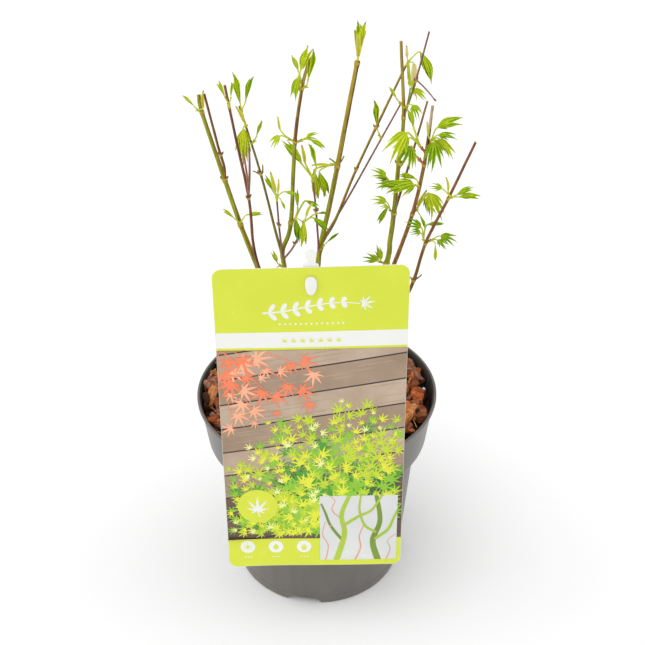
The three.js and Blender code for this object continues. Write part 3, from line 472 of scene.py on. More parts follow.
def drop_chips(surface, count, size, seed, tilt):
    """Lays chips on the pile one after the other: each rests on the best plane through the heights under it.

    The plane is the least-squares one, tipped a little, raised until four fifths of the pile under the chip
    are below it; the pile's height then rises to the chip's top there. Returns centres, axes and sizes.
    """
    gx, gy = np.meshgrid(PILE_CELLS, PILE_CELLS, indexing="ij")
    k = np.arange(count)
    sizes = np.stack([between(low, high, seed + 1000 * i + k) for i, (low, high) in enumerate(size)], -1)
    share = np.sqrt((k + 0.5) / count)
    order = np.argsort(chance(seed + 7000 + k))
    golden = math.pi * (3 - math.sqrt(5))  # angle that spreads neighbours evenly over a disc
    middles, axes = [], []
    for i in order:
        length, width, thick = sizes[i]
        r = min(share[i] * MULCH["reach"], MULCH["reach"] - width * LAY["wall"])
        r = max(r, MULCH["trunk_clear"] + width * LAY["trunk"])
        a = i * golden + seed
        heading = between(0, math.pi, seed + 8000 + i)
        if r > MULCH["reach"] - length * LAY["along_wall"]:
            heading = a + math.pi / 2 + between(-LAY["swerve"], LAY["swerve"], seed + 8500 + i)
        x, y = r * math.cos(a) + PILE_MIDDLE[0], r * math.sin(a) + PILE_MIDDLE[1]
        c, s = math.cos(heading), math.sin(heading)
        along = (gx - x) * c + (gy - y) * s
        across = (gy - y) * c - (gx - x) * s
        under = (np.abs(along) < length / 2) & (np.abs(across) < width / 2)
        if not under.any():  # a grain between two cells is left out
            continue
        h, u, v = surface[under], along[under], across[under]
        slope_u, slope_v = (
            np.clip((w * (h - h.mean())).sum() / max((w * w).sum(), 1), -LAY["slope"], LAY["slope"])
            + between(-tilt, tilt, seed + first_draw + i) for w, first_draw in ((u, 9000), (v, 9500)))
        level = np.quantile(h - slope_u * u - slope_v * v, LAY["below"])
        level = min(level, MULCH["top"] - thick - abs(slope_u) * length / 2 - abs(slope_v) * width / 2)
        surface[under] = np.maximum(h, level + slope_u * u + slope_v * v + thick * LAY["raise"])
        first = unit(np.array([c, s, slope_u]))
        third = unit(np.cross(first, np.array([-s, c, slope_v])))
        middles.append([x, y, level + thick / 2])
        axes.append([first, np.cross(third, first), third])
    return np.array(middles), np.array(axes), sizes[order][:len(middles)]


def chip_shapes(middles, axes, sizes, rows, cols, seed, slab):
    """Bark chips as stacks of squarish rings along their length.

    Section: (cos a, sin a) divided by its 5-norm, scaled to width and thickness and to (1 - |u|^8)^(1/8)
    along the length. The outline wanders with sines, the thickness falls off like a wedge, the ends are
    ragged across the width, fibres raise ridges on the faces, and slabs bend across.
    """
    count = len(middles)
    u = np.sin(np.linspace(-np.pi / 2, np.pi / 2, rows + 2)[1:-1])[None, :, None]
    a = (TURN * np.arange(cols) / cols + 0.2)[None, None]
    norm = (np.abs(np.cos(a)) ** 5 + np.abs(np.sin(a)) ** 5) ** 0.2
    lid = (1 - np.abs(u) ** 8) ** 0.125
    length, width, thick = (sizes[:, k, None, None] for k in range(3))

    def roll(low, high, k):
        return between(low, high, seed + k * 500 + np.arange(count))[:, None, None]

    def swing(low, high, k, v):
        return np.sin(roll(low, high, k) * v + roll(0, PHASES, k + 1))

    y = np.cos(a) / norm * lid
    z = np.sin(a) / norm * lid
    wedge = 1 + roll(-0.4, 0.4, 21) * u + roll(-0.4, 0.4, 22) * y
    waist = 1 + 0.16 * swing(1.5, 3.5, 1, u) + 0.07 * np.sin(9 * u + roll(0, PHASES, 3))
    drift = 0.16 * swing(1, 2.6, 4, u)
    ragged = 0.10 * swing(3, 6, 6, y) + 0.05 * np.sin(13 * y + roll(0, PHASES, 8))
    skew = roll(-0.16, 0.16, 9) * y
    px = length / 2 * (u * 0.88 + np.abs(u) ** 5 * ragged * np.sign(u) + skew)
    py = width / 2 * (y * waist * 0.9 + drift)
    wave = 0.16 * swing(2, 4, 10, u) + 0.12 * swing(2, 5, 12, y)
    pitch = roll(2.4, 3.6, 14) if slab else roll(1.4, 2.2, 14)
    fibre = np.sin(TURN * py / pitch + 1.2 * np.sin(3 * u + roll(0, PHASES, 15)))
    flake = np.sign(np.sin(roll(4, 9, 16) * u + roll(2, 5, 17) * y + roll(0, PHASES, 18)))
    pz = thick / 2 * (z * wedge * (1 + 0.18 * np.sin(5 * u + roll(0, PHASES, 19))) + wave)
    pz = pz + np.sign(z) * (0.34 * fibre + 0.22 * flake) * np.abs(z) ** 3 * np.minimum(1, thick / 4)
    pz = pz - (roll(-0.02, 0.035, 20) * py**2 / 10 if slab else 0)
    local = np.stack(np.broadcast_arrays(px, py, pz), -1)
    points = middles[:, None, None] + np.einsum("brck,bkx->brcx", local, axes)
    reach = np.maximum(1, np.hypot(points[..., 0], points[..., 1]) / (MULCH["reach"] + 1.2))
    points[..., :2] /= reach[..., None]
    return points


def mulch_bed():
    """Low uneven bed under the chips: a disc of rings whose height wanders, closed by a flat underside. It
    takes the darkest bark as painted shade in the gaps between the chips.
    """
    r = np.concatenate([[0.5], np.linspace(4, MULCH["reach"] + 0.3, 30)])[:, None]  # it meets the pot's wall
    a = np.radians(np.arange(0, 360, 4))
    z = MULCH["bed"] + 0.7 * ripple(a, r / 7, 40) + MULCH["relief"] * ripple(a * 3, r / 3, 90)
    top = np.stack([r * np.cos(a), r * np.sin(a), z], -1)[::-1]
    ends = r[[0, -1]]
    under = np.stack([ends * np.cos(a), ends * np.sin(a), np.full((2, len(a)), MULCH["foot"])], -1)
    return closed_rings(np.concatenate([under, top])[None])


def build_mulch():
    """Small chips, slabs, more chips, splinters and grit dropped on one pile, in that order.

    One more slab leans on the rim. Slabs and chips are dealt out to the bark's colours by a drawn number.
    """
    surface = np.full((len(PILE_CELLS), len(PILE_CELLS)), MULCH["bed"] + MULCH["relief"])
    under, slabs, chips, splinters, grit = (drop_chips(surface, *drop) for drop in DROPS.values())
    slabs = [np.concatenate(pair) for pair in zip(slabs, LEANING_SLAB)]
    small = [np.concatenate(pair) for pair in zip(under, chips)]
    slab_points = chip_shapes(*slabs, 24, 24, 60000, True)
    chip_points = chip_shapes(*small, 9, 10, 70000, False)
    slab_tone = np.digitize(chance(np.arange(len(slab_points)) + 300), SLAB_DEAL)
    buried = np.arange(len(chip_points)) < len(under[0])
    chip_roll = chance(np.arange(len(chip_points)) + 900) + BURIED_SHIFT * buried
    chip_tone = np.digitize(chip_roll, CHIP_DEAL)
    paths = np.stack([spaced(smooth_line(line), 2.4)[:LONE_STEPS] for line in LONE_FIBRES])
    fibres = sweep(paths, np.full(paths.shape[:2], LONE_RADIUS) * np.linspace(1, 0.5, LONE_STEPS), 6)
    splinter_points = chip_shapes(*splinters, 9, 6, 80000, False)
    grit_points = chip_shapes(*grit, 6, 8, 90000, False)
    bark = {f"bark_{tone}": ([closed_rings(slab_points[slab_tone == i]),
                              closed_rings(chip_points[chip_tone == i])],
                             material, 24)
            for i, (tone, material) in enumerate(BARK_TONES.items())}
    # the bed in the darkest bark: painted shade in the gaps between the chips
    bark["bark_bed"] = ([mulch_bed()], BARK_TONES["dark"], 50)
    bark["bark_fibres"] = ([fibres, closed_rings(splinter_points)], FIBRE, 50)
    bark["perlite_grains"] = ([closed_rings(grit_points)], PERLITE, 50)
    for name, (shapes, material, sharp) in bark.items():
        piece(name, shapes, [material], ["bark_mulch"], sharp)


# Trunk and stems, as in the source

# Heights and radii of the trunk, and how far its top is off its foot
TRUNK_RINGS = [(150.3, 12.5), (152.8, 10.1), (159.3, 8), (179, 6.6), (184, 5.7), (187, 3)]
TRUNK_LEAN = (-4, 3)
TRUNK_UPRIGHT, TRUNK_TOP = 2.5, 184
SWELL, SWELL_HALF = 0.3, 1.6  # how much thicker a stem is at a leaf joint, and over what half length
THIN_LATE = 0.7  # power with which a stem gets thinner: most of it near its foot
STEM_STEP = 1.1  # length of the faces along a stem
COLLAR, COLLAR_REACH = 0.45, 3  # how much thicker a stem's foot is, and over how many of its radii
BARK_RELIEF = {"stem": 0.05, "trunk": 0.035}  # height of the bark's relief as a share of the radius
THICK_STEM, THICK_SIDES, THIN_SIDES = 1.6, 20, 14  # radius from which a stem has more faces round it
TWIG_BOW, TWIG_FOOT = np.array([[0.6, -0.4, 0.2]]), 1.25  # bow of a twig, and how much thicker its foot is
VIOLET_TWIGS = ("stem_a_inner", "stem_d_tall")  # stems whose twigs are violet, not of their foot's bark
SHADE_FROM = 0.5  # limit from which a stem's right-hand side gets painted shade
ROOTS = {"count": 5, "depth": 0.10, "height": 5}  # lobes of the root flare
FURROWS = {"count": 9, "depth": 0.03, "twist": 0.15}
# A leaf joint's ring: half its height, and its radius at the edges and what its middle adds, as shares
BAND_HALF, BAND_EDGE, BAND_RISE = 1.4, 0.78, 0.28
CUT_FACE = [0.9, 0.93, 0.93, 0.9, 0.8]  # a cut tip's radii as shares of the stem's, upwards
ALL = 999  # above every stem

# Parent, height at which a stem leaves it, points that it bends at, tip, radius at foot and tip, heights of
# its leaf joints, and its twigs: height, tip and radius. `bark` gives each bark colour up to a height.
STEMS = {
    "stem_a": dict(
        start="trunk", at=177,
        via=[[-15, 4, 191], [-42, 8, 275], [-54, 12, 311], [-64, 16.2, 346], [-76.5, 20.5, 393]],
        tip=[-78, 22, 405], radius=[2.7, 1.35], joints=[311, 345, 393], bark=[("olive", ALL)]),
    "stem_a_side": dict(
        start="stem_a", at=345, via=[[-63.2, 14, 355], [-66.1, 12, 371]], tip=[-73, 12, 409],
        radius=[1.05, 0.85], joints=[365], bark=[("brown", ALL)]),
    "stem_a_inner": dict(
        start="stem_a", at=262, via=[[-44, -2, 298], [-45, -13, 343], [-50.8, -22, 392]],
        tip=[-55, -28, 428], radius=[1.25, 0.85], joints=[344, 413],
        twigs=[[344, [-46, -24, 381], 0.7], [345, [-43.4, -8, 379], 0.7]], bark=[("red_brown", ALL)]),
    "stem_b": dict(
        start="trunk", at=181,
        via=[[-16, -5, 230], [-22, -13, 288], [-23, -14, 304], [-16.8, -15, 325], [-12.3, -22, 388],
             [-7, -26, 425]],
        tip=[-2, -28, 444], radius=[2.6, 1], joints=[326, 388, 425],
        bark=[("olive", 386), ("brown", 405), ("tan_olive", ALL)]),
    "stem_b_left": dict(
        start="stem_b", at=300, via=[[-28, -10, 318], [-37, 2, 355]], tip=[-50, 13, 400],
        radius=[1.05, 0.75], joints=[355, 394],
        twigs=[[354, [-42.5, 3, 357], 0.45], [354, [-35.5, 2, 362], 0.45]], bark=[("dark_olive", ALL)]),
    "stem_b_front": dict(
        start="stem_b", at=299, via=[[-24.5, -24, 327]], tip=[-25, -32, 351],
        radius=[0.8, 0.65], joints=[328], bark=[("violet", ALL)]),
    "stem_b_right": dict(
        start="stem_b", at=296, via=[[-15, -26, 313]], tip=[-8, -34, 333],
        radius=[0.8, 0.65], joints=[316], bark=[("violet", ALL)]),
    "stem_c": dict(
        start="trunk", at=182,
        via=[[-2, 9, 218], [2, 18, 273], [3.8, 20, 287], [11.5, 23, 324], [16.6, 27, 349]],
        tip=[30.6, 36, 423], radius=[2.3, 1.65], joints=[287, 349, 421],
        twigs=[[350, [10.8, 26, 356], 0.6], [350, [21.5, 28, 357], 0.5]],
        bark=[("olive", 349), ("tan_olive", ALL)]),
    "stem_c_left": dict(
        start="stem_c", at=282, via=[[1, 8, 323]], tip=[-1, 0, 350],
        radius=[0.85, 0.7], joints=[323], bark=[("violet", ALL)]),
    "stem_c_long": dict(
        start="stem_c", at=290, via=[[15.5, 24, 309], [31.6, 36, 345]], tip=[65.2, 52, 414],
        radius=[1.15, 0.85], joints=[343, 372], bark=[("tan_olive", ALL)]),
    "stem_c_back": dict(
        start="stem_c", at=292, via=[[25.4, 44, 317], [50.2, 60, 357]], tip=[64, 66, 381],
        radius=[0.9, 0.65], joints=[357], bark=[("violet", ALL)]),
    "stem_d": dict(
        start="trunk", at=176,
        via=[[16, 5, 187], [36, 8, 206], [53.5, 16, 275], [55.8, 18, 294], [58, 20, 315], [60, 20, 354],
             [62, 20, 388]],
        tip=[58, 18, 441], radius=[3.1, 1], joints=[275, 315, 354, 388],
        twigs=[[388, [66, 22, 408], 0.6]], bark=[("olive", 388), ("tan_olive", ALL)]),
    "stem_d_right": dict(
        start="stem_d", at=314, via=[[71, 34, 356]], tip=[81, 44, 391],
        radius=[1.1, 0.75], joints=[356], bark=[("brown", ALL)]),
    "stem_d_tall": dict(
        start="stem_d", at=388, via=[[70, 30, 409]], tip=[79, 40, 441], radius=[0.85, 0.65],
        joints=[410], twigs=[[411, [86, 44, 392], 0.5]], bark=[("dark_olive", 410), ("violet", ALL)]),
    "stem_e": dict(
        start="stem_d", at=236, via=[[58, 2, 283], [68, -10, 329], [73, -20, 370]], tip=[75, -30, 414],
        radius=[2, 1], joints=[329, 370, 379], bark=[("brown", 379), ("red_brown", 397), ("dry", ALL)]),
    "stem_f": dict(
        start="stem_d", at=199, via=[[52, 3, 229], [70, -2, 263], [78, -14, 308], [90, -24, 347]],
        tip=[103, -36, 392], radius=[1.7, 0.85], joints=[272, 308, 347],
        twigs=[[272, [66.5, -7, 278], 0.5], [272, [78, -4, 277], 0.5]],
        bark=[("brown", 308), ("red_brown", ALL)]),
}


def trunk_line():
    """Centre line of the trunk: upright for its butt, then leaning evenly to its top."""
    z = np.array([ring[0] for ring in TRUNK_RINGS])
    share = np.maximum(0, z - z[0] - TRUNK_UPRIGHT) / (TRUNK_TOP - z[0])
    return np.stack([TRUNK_LEAN[0] * share, TRUNK_LEAN[1] * share, z], -1)


lines = {"trunk": trunk_line()}
for stem_name, stem in STEMS.items():
    first = at_height(lines[stem["start"]], stem["at"])
    lines[stem_name] = smooth_line([first, *stem["via"], stem["tip"]])


def stem_radius(name, z):
    """Radius of a stem at a height: foot + (tip - foot) share^0.7, swelling at each joint."""
    s = STEMS[name]
    low, high = lines[name][0, 2], lines[name][-1, 2]
    share = np.clip((z - low) / (high - low), 0, 1)
    swell = sum(np.exp(-((z - joint) / SWELL_HALF) ** 2) for joint in s["joints"])
    foot, tip = s["radius"]
    return (foot + (tip - foot) * share**THIN_LATE) * (1 + SWELL * np.minimum(swell, 1))


def bark_relief(path, radii, sides, seed, depth):
    """Radii with the bark's relief: fine lengthwise ridges and soft swellings, `depth` of the radius high."""
    a = TURN * np.arange(sides) / sides
    along = np.arange(path.shape[1])[None, :, None]
    ridges = 0.4 * np.sin(7 * a + 0.05 * along + seed) + 0.3 * np.sin(11 * a - 0.07 * along)
    return radii[..., None] * (1 + depth * (ridges + ripple(a, along * 0.16, seed * 31)))


def stem_shapes(name, seed):
    """Tubes of a stem for each of its bark colours, with a collar at its foot, a flat tip and its twigs."""
    s = STEMS[name]
    path = spaced(lines[name], STEM_STEP)
    radii = stem_radius(name, path[:, 2])
    from_foot = np.linalg.norm(path - path[0], axis=1)
    radii = radii * (1 + COLLAR * np.exp(-(from_foot / (COLLAR_REACH * radii[0])) ** 2))
    sides = THICK_SIDES if s["radius"][0] > THICK_STEM else THIN_SIDES
    full = bark_relief(path[None], radii[None], sides, seed, BARK_RELIEF["stem"])
    low = -1
    shapes = {}
    for tone, top in s["bark"]:
        part = np.flatnonzero((path[:, 2] > low) & (path[:, 2] <= top + 1.2))  # overlaps the next by a face
        # the right-hand faces get the darker copy: painted shade
        shapes[tone] = [paint_shade_side(sweep(path[None, part], full[:, part], sides), len(part), sides, seed)]
        low = top
    for z, stop, r in s.get("twigs", ()):
        start = at_height(lines[name], z)
        t = np.linspace(0, 1, 16)[:, None]
        line = start + (np.array(stop) - start) * t + TWIG_BOW * np.sin(np.pi * t)
        twig = sweep(line[None], np.linspace(r * TWIG_FOOT, r, 16)[None], 8)
        tone = "violet" if name in VIOLET_TWIGS else s["bark"][0][0]
        shapes.setdefault(tone, []).append(twig)
    return shapes


def paint_shade_side(shape, rows, sides, seed):
    """Paints shade on a stem's right-hand side, away from the light: where a sine of the angle and a ripple
    pass a limit.
    """
    a = TURN * (np.arange(sides) + 0.5) / sides
    row = np.arange(rows - 1)[:, None]
    shaded_faces = np.sin(a + 0.3) + 0.45 * ripple(a, row * 0.06, seed * 17) > SHADE_FROM
    points, (walls, ends) = shape
    return points, [walls, ends], [shaded_faces.astype(int).ravel(), np.zeros(len(ends), int)]


def trunk_shape():
    """Trunk: the source's rings smoothed, with a lobed root flare and shallow furrows, and a blunt top."""
    rings = smooth_line([(x, y, z, r) for (x, y, z), (_, r) in zip(lines["trunk"], TRUNK_RINGS)], 16)
    path, radii = rings[None, :, :3], rings[None, :, 3]
    sides = 48
    a = TURN * np.arange(sides) / sides
    z = path[..., 2:]
    roots = ROOTS["depth"] * np.cos(ROOTS["count"] * a + 0.7) - ROOTS["depth"]
    furrows = FURROWS["depth"] * np.sin(FURROWS["count"] * a + z * FURROWS["twist"])
    flare = 1 + np.exp(-(z - z[0, 0]) / ROOTS["height"]) * roots + furrows
    return sweep(path, bark_relief(path, radii, sides, 3, BARK_RELIEF["trunk"]) * flare, sides)


def joint_bands(name):
    """Ring-like leaf joints: short beads a little wider than the stem, and wider where their scars are."""
    s = STEMS[name]
    inside = [z for z in s["joints"] if z < lines[name][-1, 2] - 1.5]
    if not inside:
        return []
    t = np.linspace(-1, 1, 7)
    places = np.array(inside)[:, None] + BAND_HALF * t
    path = np.stack([[at_height(lines[name], z) for z in row] for row in places])
    bead = np.sqrt(1 - t**2 * 0.96)
    radii = np.stack([stem_radius(name, row) * (BAND_EDGE + BAND_RISE * bead) for row in places])
    a = TURN * np.arange(16) / 16
    scars = 1 + 0.05 * np.cos(2 * a) + 0.03 * np.cos(5 * a)
    return [sweep(path, radii[..., None] * scars, 16)]


def cut_tip(name):
    """Pale cut face on a stem's tip: a thin disc with a rounded edge."""
    line = lines[name]
    way = unit(line[-1] - line[-4])
    path = line[-1] + way * np.linspace(-0.3, 0.08, 5)[:, None]
    return sweep(path[None], (stem_radius(name, line[-1, 2]) * np.array(CUT_FACE))[None], THIN_SIDES)


# Leaves, placed as in the source, but with deeper notches. `leaves_c_top` has two more bracts than there,
# and its blades are a little shorter.

# Number of lobes, degrees from one to the next, how far up the web joins them as a share of the shortest
# lobe, and how far a lobe's point sags as a share of its length.
KINDS = {
    "scale": dict(lobes=1, step=0, notch=0.3, sag=0),
    "bract": dict(lobes=1, step=0, notch=0.3, sag=0),
    "papery": dict(lobes=1, step=0, notch=0.3, sag=0),
    "blade": dict(lobes=2, step=8, notch=0.72, sag=0),
    "folded": dict(lobes=3, step=14, notch=0.42, sag=0.05),
    "drooping": dict(lobes=5, step=13, notch=0.36, sag=0.05),
    "hanging": dict(lobes=5, step=20, notch=0.3, sag=0.08),
    "open": dict(lobes=5, step=31, notch=0.26, sag=0.1),
}
# Fold of the blade along each rib in degrees, arch of a lobe as a share of its length, depth of the teeth as
# a share of the half width, and as shares of the length again the half width and how far the outer lobes
# close in on the middle one.
POSE = {
    "scale": (30, 0.04, 0, 0.26, 0), "bract": (24, 0.10, 0, 0.125, 0), "papery": (20, 0.08, 0, 0.2, 0),
    "blade": (40, 0.04, 0.08, 0.08, 0.7), "folded": (36, 0.07, 0.10, 0.074, 0.8),
    "drooping": (32, 0.09, 0.12, 0.07, 0.4), "hanging": (28, 0.10, 0.13, 0.066, 0.25),
    "open": (20, 0.08, 0.14, 0.062, 0.2),
}
STRAPS = ("scale", "bract", "papery")  # kinds whose blade is one plain tongue
PAPERY = "leaves_c_long_tip"  # cluster whose bracts have dried to broad cream skins
# Clusters still in their first yellow green
FRESH = ("leaves_b_left_hang", "leaves_b_top", "leaves_b_base", "leaves_c_left_tip", "leaves_c_mid",
         "leaves_c_top", "leaves_c_long_tip", "leaves_c_back_mid")
LOBE_SHARE = [1, 0.9, 0.64]  # lengths of the lobes from the middle one outwards
SECOND_SHORTER = 0.12  # share by which the second lobe of a blade is shorter
# From the petiole's end to the palm, how deep the petiole starts in the shoot, limits of a lobe's chance
# turn and roll, half the thickness, and the most of a lobe that the web joins. Flanks are the small lobes
# beside the outer ones: their length and half width as shares of those, and their turn.
LEAF = dict(bend=1.2, sunk=0.7, wobble=7, roll=30, half_thick=0.11, web=0.6, flank=0.5625, flank_half=0.65,
            flank_turn=9)
FACE = np.array([0, -0.7, 0.7])  # what the blades' upper sides turn to: the front and the light
SHOOT = dict(radius=0.95, taper=0.8, point=0.45)  # radius at the foot, share left at the end, rounded tip
# A round of points across a blade, from one margin over the top to the other and back below: places as
# shares of the half width, and layer above or below the middle of the thickness. Then each face's finish:
# 0 the lighter margin, painted highlight, and 1 the darker fold along the rib, painted shade.
ACROSS = np.array([1, 0.66, 0.33, 0, -0.33, -0.66, -1, -0.66, -0.33, 0, 0.33, 0.66])
LAYERS = np.array([0, 1, 1, 1, 1, 1, 0, -1, -1, -1, -1, -1])
FINISHES = np.array([0, 1, 1, 1, 1, 0, 0, 1, 1, 1, 1, 0])
POINT_ROWS = 2  # faces at the tip that are dried to brown
PETIOLE_THIN, PETIOLE_FLARE = 0.58, 0.24  # a petiole's radius at half way, and what its ends add
# How leaves are dealt out to the greens, by a drawn number from 0 to 1, the height and `FRESH`
LEAF_DEAL = [0.07, 0.34, 0.74]
CROWN_MIDDLE, CROWN_FADE, FRESH_SHIFT = 350, 500, 0.3

# Stem, height of the joint, bearing, rise and length of the shoot, and its leaves: bearing, rise and length
# of the petiole, then bearing, pitch and length of the blade, and kind. A petiole below 0 starts the blade
# under the shoot's tip.
CLUSTERS = {
    "leaves_a_top": ["stem_a", 393, 180, 30, 2, [
        [180, 57, 1.7, 180, 46, 11.5, "blade"], [-45, 20, 7, 0, 86, 12, "bract"]]],
    "leaves_a_mid": ["stem_a", 311, -90, 40, 3, [
        [180, 48, 4, 180, 42, 11.5, "blade"], [0, 60, 8, 0, 4, 12.5, "folded"]]],
    "leaves_a_low": ["stem_a", 232, 120, 30, 3.5, [
        [150, 30, 8, 170, -25, 15, "hanging"], [70, 45, 8, 80, 15, 13, "folded"]]],
    "leaves_a_inner_top": ["stem_a_inner", 413, -90, 60, 2.4, [
        [180, 60, 3, 180, 68, 12, "blade"], [0, 60, 2.5, 0, 80, 11, "blade"]]],
    "leaves_b_left_top": ["stem_b_left", 395, -90, 60, 2.4, [
        [180, 84, 3, 180, 82, 22, "blade"], [0, 62, 6, 0, 76, 18, "blade"]]],
    "leaves_b_left_hang": ["stem_b_left", 388, -80, 10, 3, [
        [-120, 0, 3.4, -100, -80, 26, "drooping"], [180, 60, 1.6, 180, 68, 12, "bract"]]],
    "leaves_b_left_mid": ["stem_b_left", 375, 0, 50, 2.4, [[0, 60, 2, 0, 68, 13, "blade"]]],
    "leaves_b_front": ["stem_b_front", 351, -90, 70, 2.4, [
        [180, 60, 3, 180, 64, 13, "blade"],
        [200, 80, 3, 190, 80, 14, "bract"], [-30, 70, 3, -10, 84, 9, "bract"],
        [0, 45, 6, 0, -15, 9, "folded"], [-60, 20, 4, -40, -55, 8, "blade"]]],
    "leaves_b_right": ["stem_b_right", 333, -60, 70, 2.4, [
        [180, 40, 7, -60, -76, 17, "folded"],
        [-70, 60, 4, -120, -80, 19, "folded"], [0, 70, 4, 0, 68, 11, "bract"],
        [0, 40, 7, 0, -42, 15, "folded"], [20, 35, 9, 10, 0, 9, "blade"]]],
    "leaves_b_base": ["stem_b", 289, 180, 30, 2.4, [
        [180, 40, 2.6, 180, 74, 11, "folded"], [200, 0, 2, 190, -62, 10, "folded"]]],
    "leaves_b_low": ["stem_b", 326, -30, 40, 3, [
        [-20, 72, 8.5, 180, 88, 14, "blade"], [0, 66, 17, 0, -32, 12, "folded"]]],
    "leaves_b_hidden": ["stem_b", 246, -160, 20, 3.5, [
        [180, 30, 9, 180, -35, 15, "hanging"], [-120, 40, 6, -120, 0, 12, "folded"]]],
    "leaves_b_mid_left": ["stem_b", 388, 180, 25, 3, [
        [180, 45, 8, 180, 78, 9, "bract"], [185, 35, 6, 190, -42, 11, "hanging"]]],
    "leaves_b_mid_right": ["stem_b", 387, 0, 25, 3, [
        [0, 30, 3, -10, 20, 10, "hanging"], [-20, 20, 6, -10, -26, 12, "folded"]]],
    "leaves_b_top": ["stem_b", 425, -141, 78, 7.8, [
        [-74, 57, 2.8, -25, 70, 19, "folded"], [115, 55, 1.9, 164, 68, 11, "folded"],
        [-108, 11, 2.7, -149, -76, 15, "drooping"]]],
    "leaves_b_top_right": ["stem_b", 425, -24, 24, 2.2, [[-10, 72, 3, -4, 78, 20, "blade"]]],
    "leaves_c_left_tip": ["stem_c_left", 350, -90, 75, 2.4, [
        [180, 54, 12, 180, 57, 22, "folded"], [180, 64, 11.5, 180, 78, 13, "bract"],
        [0, 66, 7, 180, 76, 19, "blade"]]],
    "leaves_c_fork": ["stem_c", 287, -50, 45, 2.6, [[0, 40, 2, 0, 42, 13, "blade"]]],
    "leaves_c_low": ["stem_c", 238, 75, 30, 3.5, [
        [60, 30, 9, 60, -30, 16, "hanging"], [130, 50, 7, 120, 30, 13, "folded"]]],
    "leaves_c_mid": ["stem_c", 351, 190, 0, 3, [
        [180, -12, 13, 0, -84, 25, "folded"], [190, -20, 10, 0, -74, 22, "folded"],
        [180, 10, 2.4, 180, -6, 11, "bract"]]],
    "leaves_c_top": ["stem_c", 423, 60, 80, 2.4, [
        [150, 76, 2, 0, 89, 19.5, "blade"], [0, 70, 2.6, 0, 84, 19, "blade"],
        [-80, 70, 1, -70, 86, 15, "bract"], [170, 80, -2.6, 180, 84, 18, "bract"],
        [-10, 80, -2.8, 0, 78, 18, "bract"]]],
    "leaves_c_long_tip": ["stem_c_long", 414, 0, 60, 2.4, [
        [160, 70, 2.4, 180, 82, 8, "bract"], [0, 48, 11, 0, -65, 25, "folded"],
        [-10, 0, 4, -40, -84, 16, "bract"], [-30, -80, 19, 0, -32, 14, "hanging"]]],
    "leaves_c_back_mid": ["stem_c_back", 357, 180, 60, 2.4, [[180, 72, 6, 180, 84, 21, "blade"]]],
    "leaves_d_low": ["stem_d", 228, 100, 25, 3.5, [
        [110, 30, 9, 110, -20, 16, "hanging"], [40, 45, 8, 40, 20, 13, "folded"]]],
    "leaves_d_base": ["stem_d", 275, 180, 20, 2.8, [
        [180, 10, 3, 180, 24, 13, "hanging"], [185, 60, 3, 180, 82, 13, "drooping"]]],
    "leaves_d_joint": ["stem_d", 315, 180, 40, 2.2, [
        [190, 70, 4, 190, -58, 15, "folded"], [170, 72, 7, 180, 16, 13, "hanging"]]],
    "leaves_d_upper": ["stem_d", 335, -140, 30, 3, [
        [180, 60, 8.5, 180, 30, 14, "hanging"], [-40, 24, 12, 180, 0, 20, "drooping"],
        [150, 20, 4, 150, -8, 11, "open"]]],
    "leaves_d_top": ["stem_d", 396, 180, 45, 2.4, [[180, 45, 2, 180, 55, 11, "blade"]]],
    "leaves_d_curl": ["stem_d", 395, -60, 30, 2.6, [[-40, 40, 5, -30, -50, 12, "hanging"]]],
    "leaves_e_upper_left": ["stem_e", 379, -167, 50, 6.4, [
        [-166, 53, 14, -151, -46, 23, "hanging"], [155, 68, 12.5, 153, 70, 14, "folded"]]],
    "leaves_e_lower_left": ["stem_e", 370, -170, 49, 8, [[-150, 66, 10, -140, -58, 17, "hanging"]]],
    "leaves_e_mid_left": ["stem_e", 350, -103, 51, 4, [
        [-156, 39, 3.1, -167, -2, 20, "hanging"], [94, 27, 5.6, 165, 14, 13, "folded"]]],
    "leaves_e_upper_right": ["stem_e", 383, -49, 59, 5.4, [
        [-52, 40, 3.3, -83, -75, 20, "hanging"], [16, 39, 4.7, -15, -46, 18, "drooping"],
        [51, 63, 8.6, 8, 20, 20, "drooping"], [-139, 54, 5.2, -144, 72, 10, "bract"]]],
    "leaves_e_mid_right": ["stem_e", 329, 0, 50, 3, [
        [0, 62, 16, -34, -60, 22, "hanging"], [10, 70, 2, 0, 72, 13, "bract"],
        [-60, -10, 3, -50, -50, 11, "blade"]]],
    "leaves_f_low_left": ["stem_f", 308, 180, 60, 2.6, [
        [170, 84, 9, 180, 28, 14, "hanging"], [60, 80, 11, 0, 4, 13, "folded"]]],
    "leaves_f_low_right": ["stem_f", 308, 0, 35, 2.8, [
        [0, 35, 7, 0, -16, 15, "hanging"], [-50, 15, 5, -60, -84, 14, "blade"]]],
    "leaves_f_mid": ["stem_f", 347, -60, 40, 2.6, [
        [0, 20, 3, 0, 30, 13, "folded"], [-10, 5, 4, 0, 4, 16, "folded"],
        [180, 60, 4, 180, 84, 10, "bract"], [185, 50, 8, 180, 18, 10, "hanging"]]],
}


